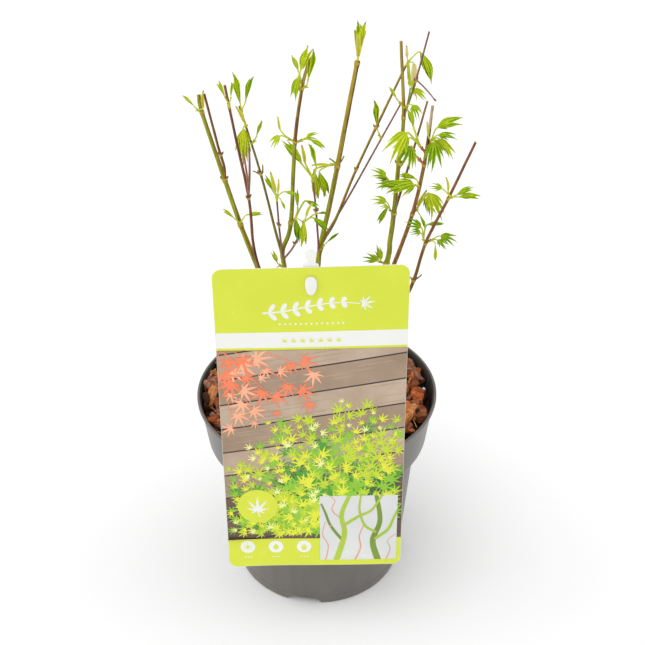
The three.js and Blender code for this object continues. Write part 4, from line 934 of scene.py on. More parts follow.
def leaf_lobes(start, leaf, seed):
    """Petiole and lobes of one leaf. A lobe is palm, way, side and normal, and numbers for `lobe_points`."""
    bearing, rise, reach, face_bearing, pitch, length, kind = leaf
    k = KINDS[kind]
    fold, arch, teeth, breadth, close = POSE[kind]
    out, along = toward(bearing, rise), toward(face_bearing, pitch)
    normal = unit(FACE - FACE @ along * along)
    side = np.cross(normal, along)
    root = start + out * reach
    palm = root + along * LEAF["bend"]
    last = k["lobes"] - 1
    turns = [(i - last / 2) * k["step"] + (chance(seed * 7 + i) - 0.5) * LEAF["wobble"]
             for i in range(last + 1)]
    if k["lobes"] == 2:
        lengths = [length * (1 - SECOND_SHORTER * i) for i in range(2)]
    else:
        lengths = [length * LOBE_SHARE[abs(i - last // 2)] for i in range(last + 1)]
    web = k["notch"] * min(lengths)
    halves = [breadth * n for n in lengths]
    if k["lobes"] > 2:
        for end, sign in ((0, -1), (-1, 1)):
            turns.append(turns[end] + sign * (LEAF["flank_turn"] + k["step"] * 0.5))
            lengths.append(lengths[end] * LEAF["flank"])
            halves.append(halves[end] * LEAF["flank_half"])
    lobes = []
    for i, (turn, size, half) in enumerate(zip(turns, lengths, halves)):
        c, s = math.cos(math.radians(turn)), math.sin(math.radians(turn))
        roll = math.radians(between(-LEAF["roll"], LEAF["roll"], seed * 11 + i))
        numbers = [size, half, min(LEAF["web"], web / size), math.tan(math.radians(fold)), arch, teeth,
                   float(kind in STRAPS), k["sag"], roll, close * s, seed * 13 + i]
        lobes.append(([palm, along * c + side * s, side * c - along * s, normal], numbers))
    petiole = (start - out * LEAF["sunk"], root - out * reach * 0.25, root, palm + along * 0.8)
    return petiole, lobes


def lobe_points(lobes, rows):
    """Closed thin lobes, all at once.

    With s from 0 at the palm to 1 at the point, and q the same from the notch on, the half width grows
    evenly to the notch, which joins neighbouring lobes in one web. Beyond it the half width follows
    (1 + 2.6 q) (1 - q)^1.5, and that of a plain tongue s^0.45 (1 - s)^0.55 all along. The blade folds up
    along its rib, twists beyond the notch by q^1.3, has forward teeth on every second row, arches by
    4 s (1 - s), bends back and curls by q^2, closes in and sags by s^2, all in a thin shell.
    """
    palm, way, side, normal = (np.array([lobe[0][i] for lobe in lobes])[:, None, None] for i in range(4))
    length, half, web, fold, arch, teeth, strap, sag, roll, close, seed = np.array(
        [lobe[1] for lobe in lobes]).T[..., None, None]
    s = np.linspace(0, 0.99, rows)[None, :, None]
    c = ACROSS[None, None]
    q = np.clip((s - web) / (1 - web), 0, 1)
    free = np.clip(s - web, 0, 0.15) / 0.15
    lance = np.where(s < web, (s + 0.03) / (web + 0.03), (1 + 2.6 * q) * (1 - q) ** 1.5)
    tongue = 1.5 * (s + 0.05) ** 0.45 * (1 - s) ** 0.55
    odd = (np.arange(rows) % 2)[None, :, None] * 2 - 1
    tooth = teeth * odd * free * np.clip((1 - s) * 6, 0, 1) * np.abs(c) ** 3
    w = half * np.where(strap > 0, tongue, lance) * (1 + tooth)
    shell = LEAF["half_thick"] * (1 - 0.55 * np.abs(c)) * (1 - 0.5 * s) * LAYERS
    across = w * c
    rise = w * np.abs(c) * fold + shell
    twist = roll * q**1.3
    curl = (0.09 * np.sin(seed * 3.7) * q**2 - close * s**2) * length
    along = length * s + np.maximum(tooth, 0) * length * 0.05
    bow = arch * length * 4 * s * (1 - s) - 0.10 * length * q**2 * (1 + np.sin(seed * 1.9))
    x = across * np.cos(twist) - rise * np.sin(twist) + curl
    z = across * np.sin(twist) + rise * np.cos(twist) + bow
    return (palm + way * along[..., None] + side * x[..., None] + normal * z[..., None]
            - UP * (sag * length * s**2)[..., None])


def leaf_shape(lobes, rows=18):
    """Lobes with their finishes: 0 on the margins, with painted highlight, 1 on the fold along the rib, with
    painted shade, and 2 at the point.
    """
    points, (walls, ends) = closed_rings(lobe_points(lobes, rows))
    # The faces along the rib take the darker fold finish (painted shade), and the margins take the lighter
    # one (painted highlight)
    paint = np.where(np.arange(rows - 1)[:, None] < rows - 1 - POINT_ROWS, FINISHES, 2)
    return points, [walls, ends], [np.tile(paint.ravel(), len(lobes)), np.full(len(ends), 1)]


def petiole_shapes(petioles):
    """Petioles: cubic curves from inside the shoot to the palm, thickest at both ends, thinner when short."""
    a, b, c, d = (np.array([p[i] for p in petioles])[:, None] for i in range(4))
    t = np.linspace(0, 1, 12)[None, :, None]
    path = (1 - t)**3 * a + 3 * (1 - t)**2 * t * b + 3 * (1 - t) * t**2 * c + t**3 * d
    size = np.clip(np.linalg.norm(d - a, axis=-1) / 12, 0.8, 1.15)
    return sweep(path, size * (PETIOLE_THIN + PETIOLE_FLARE * (2 * t[..., 0] - 1) ** 4), 8)


def leaf_tone(kind, seed, z, fresh):
    """Colour of a leaf: pale bracts, and greens that are lighter towards the crown's top or when fresh."""
    if kind in ("bract", "papery"):
        return "cream" if kind == "papery" else "pale"
    drawn = chance(seed * 5 + 2) + (z - CROWN_MIDDLE) / CROWN_FADE + FRESH_SHIFT * fresh
    return ["deep", "mid", "spring", "lime"][int(np.digitize(drawn, LEAF_DEAL))]


# Scales at a shoot's foot: their number, how far out they sit as a share of the stem's radius, how much
# longer than the shoot they are, the longest, the shorter pair's share, distance from the axis and splay
SCALES = dict(count=4, seat=0.8, spare=1.4, longest=4.6, short=0.75, off=0.75, splay=0.1)


def bud_scales(stem, z, start, way, length, seed):
    """Four narrow scales that clasp a shoot's foot, in two pairs, as lobes."""
    skin = start + way * stem_radius(stem, z) * SCALES["seat"]
    side = unit(np.cross(way, [0.3, 0.2, 1.0]))
    size = min(length + SCALES["spare"], SCALES["longest"])
    fold, arch, teeth, breadth, _ = POSE["scale"]
    made = []
    for i in range(SCALES["count"]):
        turn = i * TURN / SCALES["count"] + 0.4
        edge = side * math.cos(turn) + np.cross(way, side) * math.sin(turn)
        lean = unit(way + edge * SCALES["splay"])
        inward = unit(-edge + lean * (edge @ lean))
        long = size * (1 if i % 2 else SCALES["short"])
        numbers = [long, breadth * long, KINDS["scale"]["notch"], math.tan(math.radians(fold)), arch, teeth,
                   1.0, 0, 0, 0, seed + i]
        made.append(([skin + edge * SCALES["off"], lean, np.cross(lean, inward), inward], numbers))
    return made


# A leaf of several lobes that is longer than `from_length` has a smaller one beside it: limits of its turn
# and tilt, how much lower its petiole rises, and shares of the petiole, of the turn and of the length
YOUNGER = dict(from_length=12, turn=45, down=-22, up=12, lower=8, reach=0.62, turned=0.8, size=0.7)


def younger_leaf(leaf, seed):
    """The smaller leaf that unfolds beside a leaf of several lobes, turned and tilted a little from it."""
    bearing, rise, reach, face_bearing, pitch, length, kind = leaf
    turn = between(-YOUNGER["turn"], YOUNGER["turn"], seed)
    tilt = between(YOUNGER["down"], YOUNGER["up"], seed + 50)
    return [bearing + turn, rise - YOUNGER["lower"], reach * YOUNGER["reach"],
            face_bearing + turn * YOUNGER["turned"], pitch + tilt, length * YOUNGER["size"], kind]


def build_leaves():
    """All clusters by the source's rule, joined by colour, with petioles, shoots and bud scales."""
    lobes = {tone: [] for tone in LEAF_TONES}
    petioles = []
    shoots = {"pink": [], "green": []}
    scales = {"pink": [], "green": []}
    for c, (name, (stem, z, bearing, rise, length, leaves)) in enumerate(CLUSTERS.items()):
        start = at_height(lines[stem], z)
        way = toward(bearing, rise)
        tip = start + way * (length + STEMS[stem]["radius"][1])
        t = np.linspace(0, 1, 8)[:, None]
        kind = "pink" if stem == "stem_e" else "green"
        shoots[kind].append(start + (tip + way * 0.35 - start) * t)
        scales[kind] += bud_scales(stem, z, start, way, length, c * 17)
        grown = leaves + [younger_leaf(leaf, c * 31 + i) for i, leaf in enumerate(leaves)
                          if KINDS[leaf[6]]["lobes"] == 5 and leaf[5] > YOUNGER["from_length"]]
        for i, leaf in enumerate(grown):
            if name == PAPERY and leaf[6] == "bract":
                leaf = [*leaf[:6], "papery"]
            petiole, blades = leaf_lobes(tip, leaf, c * 10 + i)
            petioles.append(petiole)
            lobes[leaf_tone(leaf[6], c * 10 + i, z, name in FRESH)] += blades
    names = list(CLUSTERS)
    for tone, blades in lobes.items():
        piece(f"leaves_{tone}", [leaf_shape(blades)], LEAF_TONES[tone], names, 40)
    tapers = SHOOT["radius"] * (1 - (1 - SHOOT["taper"]) * np.linspace(0, 1, 8))
    tapers = np.append(tapers[:-1], SHOOT["point"])
    for kind, finish_name, scale in (("green", PETIOLE, TAN_SCALE), ("pink", PINK_SCALE, PINK_SCALE)):
        tubes = sweep(np.array(shoots[kind]), np.tile(tapers, (len(shoots[kind]), 1)), 10)
        piece(f"{kind}_shoots", [tubes], [finish_name], names)
        skins = closed_rings(lobe_points(scales[kind], 10))
        piece(f"{kind}_bud_scales", [skins], [scale], names)
    piece("petioles", [petiole_shapes(petioles)], [PETIOLE], names)


BUDDED_TWIG = STEMS["stem_d_tall"]["twigs"][0][1]  # end of the one twig that still has its end buds
# Buds: lengths, thickest radius and rise. None is within `free` of a cluster or `below_tip` of a stem's tip.
BUD = dict(length=2.2, end_length=2.4, radius=0.78, rise=56, free=8, below_tip=2)


def resting_buds():
    """Small pointed buds, two on each joint that carries no leaves: tubes that swell and close to a point."""
    t = np.linspace(0, 1, 9)
    paths = []
    for n, (name, s) in enumerate(STEMS.items()):
        for z in s["joints"]:
            taken = any(c[0] == name and abs(c[1] - z) < BUD["free"] for c in CLUSTERS.values())
            if taken or z > lines[name][-1, 2] - BUD["below_tip"]:
                continue
            start = at_height(lines[name], z + 0.6)
            for k in range(2):
                bearing = 180 * k + between(-40, 40, n * 9 + int(z))
                way = toward(bearing, BUD["rise"])
                foot = start + toward(bearing, 0) * stem_radius(name, z) * 0.8
                paths.append(foot + way * t[:, None] * BUD["length"] + UP * (0.3 * t**2)[:, None])
    for bearing in (40, -60):
        way = toward(bearing, -20)
        paths.append(np.array(BUDDED_TWIG) - way * 0.4 + way * t[:, None] * BUD["end_length"])
    swell = BUD["radius"] * np.sin(np.pi * (0.28 + 0.70 * t)) ** 0.7
    return sweep(np.array(paths), np.broadcast_to(swell, (len(paths), 9)), 10)


def build_stems():
    """Trunk and stems joined by bark colour, with joints, buds and cut tips."""
    shapes = {tone: [] for tone in WOOD_TONES}
    names = {tone: [] for tone in WOOD_TONES}
    shapes["olive"].append(trunk_shape())
    names["olive"].append("trunk")
    for i, name in enumerate(STEMS):
        for tone, made in stem_shapes(name, i + 1).items():
            shapes[tone] += made
            names[tone].append(name)
    for tone, made in shapes.items():
        piece(f"{tone}_wood", made, WOOD_TONES[tone], names[tone], 60)
    bands = [band for name in STEMS for band in joint_bands(name)]
    piece("leaf_joints", bands, [LEAF_SCAR], list(STEMS))
    piece("resting_buds", [resting_buds()], [BUD_SCALE], list(STEMS))
    piece("cut_tips", [cut_tip(name) for name in STEMS], [CUT_WOOD], list(STEMS))


# Card and stake. On the card u is across and v up from its middle, and a depth is in front of its mid plane

CARD = dict(width=128, length=241, thick=0.7, lean=7.9, x=-3, z=204.2, corner=6.5)
LEAN = math.radians(CARD["lean"])
CARD_UP = np.array([0, math.sin(LEAN), math.cos(LEAN)])
CARD_FRONT = np.array([0, -math.cos(LEAN), math.sin(LEAN)])
CARD_ACROSS = np.array([1.0, 0, 0])
GAP = 0.3  # clearance in front of the rim, and between the card and the stake
RIM_TOUCH = RIM + GAP + CARD["thick"] / 2 / math.cos(LEAN)
RIM_DROP = 1.3  # from the pot's top down to where the card passes the rim
CARD_MIDDLE = np.array([
    CARD["x"], -RIM_TOUCH + (CARD["z"] - HEIGHT + RIM_DROP) * math.tan(LEAN), CARD["z"]])
HALF_U, HALF_V = 64, 120  # half the card, for its bow and warp
BOW = 0.7  # how far the sides bend back
# How far the lower left corner has curled forward, and from where on and over what distance it does so
CURL = dict(lift=2.6, from_u=16, over_u=48, from_v=84, over_v=36)
WARP = dict(lift=1.0, tilt=0.3, shrink=0.6, skew=0.75)  # mm that the card departs from a true rectangle
ROW = 4.0  # spacing of a printed field's rows
SKIN = CARD["thick"] / 2
LAYER = 0.035  # height of one printed layer over the last, larger than real so that it shows cleanly


def warp(u, v):
    """How far up the card's face is moved, as it isn't quite square: lift + tilt a - shrink b + skew a b.

    There a and b are u and v as shares of the card's halves.
    """
    a, b = u / HALF_U, v / HALF_V
    return WARP["lift"] + WARP["tilt"] * a - WARP["shrink"] * b + WARP["skew"] * a * b


def on_card(u, v, out):
    """Place on the card: u across and v up from its middle, `out` in front, with its slight bow and curl."""
    v = v + warp(u, v)
    left = np.clip((-u - CURL["from_u"]) / CURL["over_u"], 0, 1)
    low = np.clip((-v - CURL["from_v"]) / CURL["over_v"], 0, 1)
    depth = out - BOW * (u / HALF_U) ** 2 + CURL["lift"] * (left**2 * low**2)
    return (CARD_MIDDLE + u[..., None] * CARD_ACROSS + v[..., None] * CARD_UP
            + np.asarray(depth)[..., None] * CARD_FRONT)


def plate(u, v, low, high):
    """Closed plate on the card between two depths: a grid in front, one behind, a strip round them."""
    rows, cols = u.shape
    points = np.concatenate([on_card(u, v, high).reshape(-1, 3), on_card(u, v, low).reshape(-1, 3)])
    face = grid_faces(rows, cols, False)
    index = np.arange(rows * cols).reshape(rows, cols)
    border = np.concatenate([index[0, :-1], index[:-1, -1], index[-1, :0:-1], index[:0:-1, 0]])
    after = np.roll(border, -1)
    n = rows * cols
    strip = np.stack([border, border + n, after + n, after], -1)
    return points, [face, face[:, ::-1] + n, strip]


def stamps(outlines, low, high):
    """Closed flat shapes on the card from anticlockwise outlines, filled by fans from their middles."""
    outlines = np.asarray(outlines, float)
    full = np.concatenate([outlines, outlines.mean(1, keepdims=True)], 1)
    n = outlines.shape[1]
    front, back = (on_card(full[..., 0], full[..., 1], depth) for depth in (high, low))
    i = np.arange(n)
    j = (i + 1) % n
    fan = np.stack([np.full(n, n), i, j], -1)
    under = np.stack([np.full(n, 2 * n + 1), j + n + 1, i + n + 1], -1)
    strip = np.stack([i, i + n + 1, j + n + 1, j], -1)
    return repeated(np.concatenate([front, back], 1), [np.concatenate([fan, under]), strip])


def field(left, right, bottom, top, low, high, corner=0.0):
    """Rectangle of print with round corners, as a plate whose rows narrow in the corners' quarter circles."""
    arc = corner * (1 - np.cos(np.linspace(0, np.pi / 2, 9)))
    straight = np.linspace(bottom + corner, top - corner, math.ceil((top - bottom - 2 * corner) / ROW) + 1)
    v = np.unique(np.concatenate([bottom + arc, straight[1:-1], top - arc]))
    edge = np.minimum(v - bottom, top - v)
    inset = corner - np.sqrt(np.maximum(corner**2 - np.maximum(corner - edge, 0) ** 2, 0))
    share = np.linspace(0, 1, 33)
    u = (left + inset)[:, None] + (right - left - 2 * inset)[:, None] * share
    return plate(u, np.broadcast_to(v[:, None], u.shape), low, high)


def depth_of(layer):
    """Depth of a printed layer's front: layer 0 is the lime ground, and higher ones lie over it."""
    return SKIN + LAYER * (layer + 1)


def stroke(path, widths, layer):
    """Ribbon of print along a line, `widths` wide, as a plate two points across."""
    path = np.asarray(path, float)
    way = unit(np.gradient(path, axis=0))
    right = np.stack([way[:, 1], -way[:, 0]], -1) * (np.broadcast_to(widths, len(path)) / 2)[:, None]
    grid = np.stack([path - right, path + right], 1)
    return plate(grid[..., 0], grid[..., 1], SKIN, depth_of(layer))


def discs(centres, radius, layer, steps=28):
    """Round stamps."""
    a = TURN * np.arange(steps) / steps
    ring = radius * np.stack([np.cos(a), np.sin(a)], -1)
    return stamps(np.asarray(centres, float)[:, None] + ring, SKIN, depth_of(layer))


# Printed leaf: degrees from a lobe's point to its shoulders, and reach of the shoulders as a share of the
# lobe's, of the notches and of the one at the stalk
PRINT_LEAF = dict(shoulder=7, shoulder_reach=0.6, notch=0.24, stalk=0.1)


def maple_leaves(places, sizes, turns, layer, lobes=7, spread=118):
    """Maple leaves seen flat: for each lobe a shoulder, its point and a shoulder, then a notch.

    A lobe at angle `turn` reaches 0.42 + 0.58 cos(0.62 turn)^1.6 of the leaf's size.
    """
    p = PRINT_LEAF
    angles, radii = [], []
    for turn in np.linspace(-spread, spread, lobes):
        reach = 0.42 + 0.58 * math.cos(math.radians(turn) * 0.62) ** 1.6
        angles += [turn - p["shoulder"], turn, turn + p["shoulder"], turn + spread / (lobes - 1)]
        radii += [reach * p["shoulder_reach"], reach, reach * p["shoulder_reach"], p["notch"]]
    radii[-1] = p["stalk"]
    a = np.radians(np.array(angles)[None] + np.asarray(turns, float)[:, None])
    r = np.array(radii)[None] * np.asarray(sizes, float)[:, None]
    outline = np.stack([r * np.cos(a), r * np.sin(a)], -1) + np.asarray(places, float)[:, None]
    return star_stamps(outline, np.asarray(places, float), layer)


def star_stamps(outlines, hearts, layer):
    """Closed flat stars on the card: as stamps, but with each fan at the given heart."""
    points, lots = stamps(outlines, SKIN, depth_of(layer))
    each = 2 * (outlines.shape[1] + 1)
    points = points.reshape(len(outlines), each, 3)
    points[:, outlines.shape[1]] = on_card(hearts[:, 0], hearts[:, 1], depth_of(layer))
    points[:, -1] = on_card(hearts[:, 0], hearts[:, 1], SKIN)
    return points.reshape(-1, 3), lots


# Twigs of the picture: share of the length where the leaves begin, droop of the tip as a share of the
# length, and limits of a leaf's distance from the twig, its size and its turn away from it
SPRAY = dict(start=0.12, droop=0.22, off=(1.0, 4.5), size=(4.2, 8.6), turn=(10, 70))


def sprays(base, headings, lengths, per_twig, seed):
    """Leaves along arching twigs: places, sizes, turns and shares of the twig's length, and the twigs.

    A twig is straight but for a droop that grows with the square of the share t, and its leaves get smaller
    and hang more towards its tip.
    """
    places, sizes, turns, shares, twigs = [], [], [], [], []
    for n, (heading, length) in enumerate(zip(headings, lengths)):
        h = math.radians(heading)
        t = np.linspace(SPRAY["start"], 1, per_twig)
        k = seed + n * 50 + np.arange(per_twig)
        x = base[0] + length * t * math.cos(h)
        y = base[1] + length * t * math.sin(h) - SPRAY["droop"] * length * t**2
        offset = np.where(np.arange(per_twig) % 2, 1, -1) * between(*SPRAY["off"], k)
        aside = offset[:, None] * np.array([-math.sin(h), math.cos(h)])
        line = np.stack([x, y], -1) + aside
        places.append(line)
        sizes.append(between(*SPRAY["size"], k + 1000) * (1.05 - 0.35 * t))
        turns.append(heading + np.sign(offset) * between(*SPRAY["turn"], k + 2000) - 25 * t)
        shares.append(t)
        twigs.append(line - aside)
    return [np.concatenate(lot) for lot in (places, sizes, turns, shares)] + [twigs]


PICTURE = dict(left=-63.8, right=63.8, bottom=-95.5, top=61.5)
INSET = dict(left=4.0, right=60.6, bottom=-115.2, top=-57.6)
INKS = {
    "lime": ink("lime_ink", "d6e03a", "d0db34"),
    "white": ink("white_ink", "ecede8", "e8e9e4"),
    "board_light": ink("light_board_ink", "c2ad98", "ad957e"),
    "board_mid": ink("mid_board_ink", "ab947e", "967e68"),
    "board_dark": ink("dark_board_ink", "6d5646", "57423a"),
    "board_gap": ink("board_gap_ink", "2c1f18", "382820"),
    "shade_leaf": ink("shade_leaf_ink", "356f28", "2c5f22"),
    "green_leaf": ink("green_leaf_ink", "55a22c", "469226"),
    "fresh_leaf": ink("fresh_leaf_ink", "90c82c", "82bc26"),
    "lime_leaf": ink("lime_leaf_ink", "c6da2c", "b8d026"),
    "bright_leaf": ink("bright_leaf_ink", "e6e83a", "dce22e"),
    "pale_leaf": ink("pale_leaf_ink", "f0f2a0", "e8ee8c"),
    "coral_leaf": ink("coral_leaf_ink", "f58a60", "ee7a50"),
    "peach_leaf": ink("peach_leaf_ink", "fbb894", "f8a982"),
    "inset_ground": ink("inset_ground_ink", "dcdedb", "d2d5d2"),
    "inset_stem": ink("inset_stem_ink", "b4cc34", "9cbc2e"),
    "inset_shade": ink("inset_shade_ink", "7c9a2a", "6c8a26"),
    "inset_twig": ink("inset_twig_ink", "e2a083", "d89070"),
}


def clipped(shape, box):
    """Moves the printed points that lie outside a box on to its edge."""
    points, lots = shape
    local = points - CARD_MIDDLE
    u, v = local @ CARD_ACROSS, local @ CARD_UP
    v = v - warp(u, v)
    du = np.clip(u, box["left"], box["right"]) - u
    dv = np.clip(v, box["bottom"], box["top"]) - v
    return points + du[:, None] * CARD_ACROSS + dv[:, None] * CARD_UP, lots


# Boards of the picture: their rise to the right, spacing and gap, how far below the picture board 0 lies, the
# first light one, and the grain's streaks on each: number, limits of their half length, and width
BOARDS = dict(slope=0.15, pitch=19.5, gap=1.1, below=12, light=3, streaks=9, half=(5, 26), width=0.42)


def boards(shapes):
    """Deck boards that rise to the right: light ones above, dark ones below, with gaps and grain streaks."""
    b = BOARDS
    u = np.linspace(PICTURE["left"], PICTURE["right"], 33)
    for k in range(-1, 11):
        dark = k < b["light"]
        low = PICTURE["bottom"] - b["below"] + k * b["pitch"]
        grid_v = np.stack([low + b["slope"] * u + (b["pitch"] - b["gap"]) * share
                           for share in np.linspace(0, 1, 5)])
        shape = plate(np.broadcast_to(u, grid_v.shape), grid_v, SKIN, depth_of(2))
        shapes["board_dark" if dark else ("board_light", "board_mid")[k % 2]].append(clipped(shape, PICTURE))
        for j in range(b["streaks"]):
            seed = 400 + k * 20 + j
            middle = between(-58, 58, seed)
            half = between(*b["half"], seed + 300)
            line_u = np.linspace(middle - half, middle + half, 9)
            line_v = low + b["slope"] * line_u + between(1.5, b["pitch"] - 3, seed + 600)
            width = b["width"] * np.sin(np.linspace(0.15, np.pi - 0.15, 9))
            streak = clipped(stroke(np.stack([line_u, line_v], -1), width, 3), PICTURE)
            shapes["board_gap" if dark else ("board_mid", "board_light")[k % 2]].append(streak)


# The printed greens from the shade to the light, and how leaves are dealt out to them by a drawn number
LEAF_INKS = ("shade_leaf", "green_leaf", "fresh_leaf", "lime_leaf", "bright_leaf", "pale_leaf")
INK_DEAL = [0.30, 0.48, 0.66, 0.84, 1.04]
CORAL_SHARE = 0.55  # share of the coral leaves among the peach ones
# Headings and lengths of the twigs: the mass of foliage, the low leaves in front of it and the coral spray
MASS = ([18, 34, 47, 58, 70, 81, 92, 104, 116, 128, 141, 153, 164, 174],
        [58, 74, 88, 98, 104, 112, 96, 104, 92, 88, 86, 82, 78, 64])
LOW = ([28, 52, 78, 104, 130, 152, 166], [58, 62, 60, 62, 66, 68, 62])
CORAL = ([-8, -24, -40, -58, -74], [72, 76, 62, 60, 58])


def in_picture(places):
    """Which leaves have their middles well within the picture, so that no outline folds up at its edge."""
    u, v = places.T
    return (u > -60) & (u < 60) & (v > -92) & (v < 56)


def picture(shapes):
    """Generic garden picture: boards, maple foliage from the lower right, coral leaves above left."""
    boards(shapes)
    headings, lengths = MASS
    back = sprays((20, -80), headings, [n * 1.12 for n in lengths], 20, 3000)
    front = sprays((16, -84), [h + 6 for h in headings], [n * 1.2 for n in lengths], 20, 5000)
    low = sprays((-8, -100), *LOW, 18, 7000)
    for n, (group, layer) in enumerate(((back, 4), (front, 6), (low, 7))):
        places, sizes, turns, shares, _ = group
        drawn = chance(np.arange(len(places)) + 8000 + 300 * n) * 0.7 + shares * 0.45 + 0.12 * n
        tones = np.digitize(drawn, INK_DEAL)
        for i, tone in enumerate(LEAF_INKS):
            pick = (tones == i) & in_picture(places)
            if pick.any():
                grown = sizes[pick] * (2.0 - 0.2 * i)
                leaves = maple_leaves(places[pick], grown, turns[pick], layer + i)
                shapes[tone].append(clipped(leaves, PICTURE))
    for line in front[4][1:-1:2]:
        twig = stroke(line[:-2], np.linspace(0.9, 0.4, len(line) - 2), 5)
        shapes["lime_leaf"].append(clipped(twig, PICTURE))
    places, sizes, turns, _, twigs = sprays((-70, 70), *CORAL, 9, 9000)
    inside = in_picture(places)
    coral = chance(np.arange(len(places)) + 9900) < CORAL_SHARE
    for name, pick, layer in (("peach_leaf", ~coral & inside, 8), ("coral_leaf", coral & inside, 9)):
        leaves = maple_leaves(places[pick], sizes[pick] * 1.9, turns[pick], layer)
        shapes[name].append(clipped(leaves, PICTURE))
    for line in twigs:
        shapes["coral_leaf"].append(clipped(stroke(line, np.linspace(1.0, 0.4, len(line)), 7), PICTURE))


# Stems of the inset: four points on each, its width, ink and layer. Then the buds on them.
INSET_STEMS = [
    ((16, -116), (22, -92), (20, -74), (26, -56), 4.6, "inset_stem", 16),
    ((21, -98), (12, -84), (8, -72), (5, -64), 2.4, "inset_shade", 15),
    ((21, -84), (32, -76), (42, -70), (50, -56), 2.6, "inset_stem", 17),
    ((47, -116), (43, -98), (48, -80), (45, -56), 5.0, "inset_shade", 15),
    ((45, -96), (54, -88), (58, -78), (61, -70), 2.6, "inset_stem", 17),
    ((45, -90), (37, -84), (33, -70), (34, -56), 2.2, "inset_stem", 16),
    ((30, -116), (34, -104), (33, -94), (36, -84), 1.3, "inset_twig", 15),
    ((8, -116), (10, -102), (6, -92), (8, -80), 0.9, "inset_twig", 15),
    ((53, -116), (56, -106), (54, -98), (60, -92), 0.8, "inset_twig", 15),
    ((20, -78), (13, -70), (15, -62), (11, -57), 0.9, "inset_twig", 15),
]
INSET_BUDS = [(20.8, -98), (21, -84), (44.6, -96), (44.9, -90), (12, -84), (33.2, -72), (43, -69.5)]


def inset(shapes):
    """Generic stems on a pale ground in the lower right, with side branches, twigs and buds."""
    shapes["inset_ground"].append(field(**INSET, low=SKIN, high=depth_of(14)))
    for *points, width, tone, layer in INSET_STEMS:
        line = smooth_line(points, 8)
        ribbon = stroke(line, np.linspace(width, width * 0.6, len(line)), layer)
        shapes[tone].append(clipped(ribbon, INSET))
    shapes["inset_twig"].append(discs(INSET_BUDS, 0.8, 18, 12))


SYMBOLS = [(-49.6, -103), (-28.7, -103), (-7.9, -103)]  # middles of the white discs
SYMBOL_RADIUS = 5.4


def symbols(shapes):
    """Plain symbols on three white discs, a sun, a drop of water and a pot, with dots below them."""
    shapes["white"].append(discs(SYMBOLS, SYMBOL_RADIUS, 2, 36))
    (sun_u, v), (drop_u, _), (pot_u, _) = SYMBOLS
    shapes["lime"].append(discs([(sun_u, v)], 1.5, 3, 20))
    for k in range(8):
        a = k * math.pi / 4
        ray = [(sun_u + r * math.cos(a), v + r * math.sin(a)) for r in (2.2, 3.4)]
        shapes["lime"].append(stroke(ray, 0.5, 3))
    a = TURN * np.arange(24) / 24
    pinch = np.where(np.sin(a) > 0, np.cos(a) * (1 - np.sin(a) ** 2 * 0.8), np.cos(a))
    drop = np.stack([drop_u + 1.9 * pinch, v - 0.7 + np.where(np.sin(a) > 0, 3.6, 1.9) * np.sin(a)], -1)
    shapes["lime"].append(stamps(drop[None], SKIN, depth_of(3)))
    bowl = [(pot_u - 1.5, v - 3), (pot_u + 1.5, v - 3), (pot_u + 2.1, v), (pot_u - 2.1, v)]
    shapes["lime"].append(stamps([bowl], SKIN, depth_of(3)))
    shapes["lime"].append(maple_leaves([(pot_u, v + 0.2)], [3.2], [90], 3, 5, 76))
    dots = [(u + k * 2.2, v - 9.2) for u, _ in SYMBOLS for k in (-1, 0, 1)]
    shapes["white"].append(discs(dots, 0.55, 2, 12))


# The header's sprig: half its length, height, wave, number of leaf pairs, and their length and spread
SPRIG = dict(half=32, v=92, wave=3.2, pairs=7, leaf=7.4, smaller=0.45, spread=52)
DOTS = [(u, 80.5) for u in np.arange(-21, 21.1, 3.5)]  # below the sprig
BAND = dict(left=-63.8, right=63.8, bottom=63.2, top=74.6)
BADGE = (-41, -66)  # middle of the round leaf badge
BADGE_RADIUS = 14.5


def header(shapes):
    """White leafy sprig and row of dots in the header, lime leaves in the white band, and the leaf badge."""
    wave = SPRIG["v"] + SPRIG["wave"] * np.sin(np.linspace(-1.6, 2.4, 33))
    line = np.stack([np.linspace(-SPRIG["half"], SPRIG["half"], 33), wave], -1)
    shapes["white"].append(stroke(line, np.linspace(1.3, 0.6, 33), 1))
    for k in range(SPRIG["pairs"]):
        place = line[2 + 4 * k]
        for sign in (1, -1):
            turn = math.radians(sign * SPRIG["spread"] + 6)
            reach = SPRIG["leaf"] - SPRIG["smaller"] * k
            a = np.linspace(0, TURN, 20, endpoint=False)
            u = reach / 2 * (1 + np.cos(a))
            w = 1.5 * np.sin(a) * (1 + 0.4 * np.cos(a)) ** 0.5
            leaf = place + np.stack([u * math.cos(turn) - w * math.sin(turn),
                                     u * math.sin(turn) + w * math.cos(turn)], -1)
            shapes["white"].append(stamps(leaf[None], SKIN, depth_of(2)))
    shapes["white"].append(maple_leaves([(34, line[-1, 1])], [8.4], [10], 3))
    shapes["white"].append(discs(DOTS, 0.7, 1, 12))
    shapes["white"].append(field(**BAND, low=SKIN, high=depth_of(1)))
    spots = [(u, 67.4) for u in np.arange(-18, 18.1, 6)]
    shapes["lime"].append(maple_leaves(spots, [3.4] * len(spots), [90] * len(spots), 2))
    u, v = BADGE
    shapes["lime"].append(discs([BADGE], BADGE_RADIUS, 15, 48))
    shapes["white"].append(maple_leaves([(u, v - 3.5)], [12], [90], 16))
    stalk = [(u, v - 3), (u + 0.4, v - 6.5), (u + 1.5, v - 9.5)]
    shapes["white"].append(stroke(smooth_line(stalk, 6), 0.8, 16))


PRINT_EDGE, PRINT_SINK = 0.15, 0.02  # bare edge round the printed front, and how deep the print sits in it


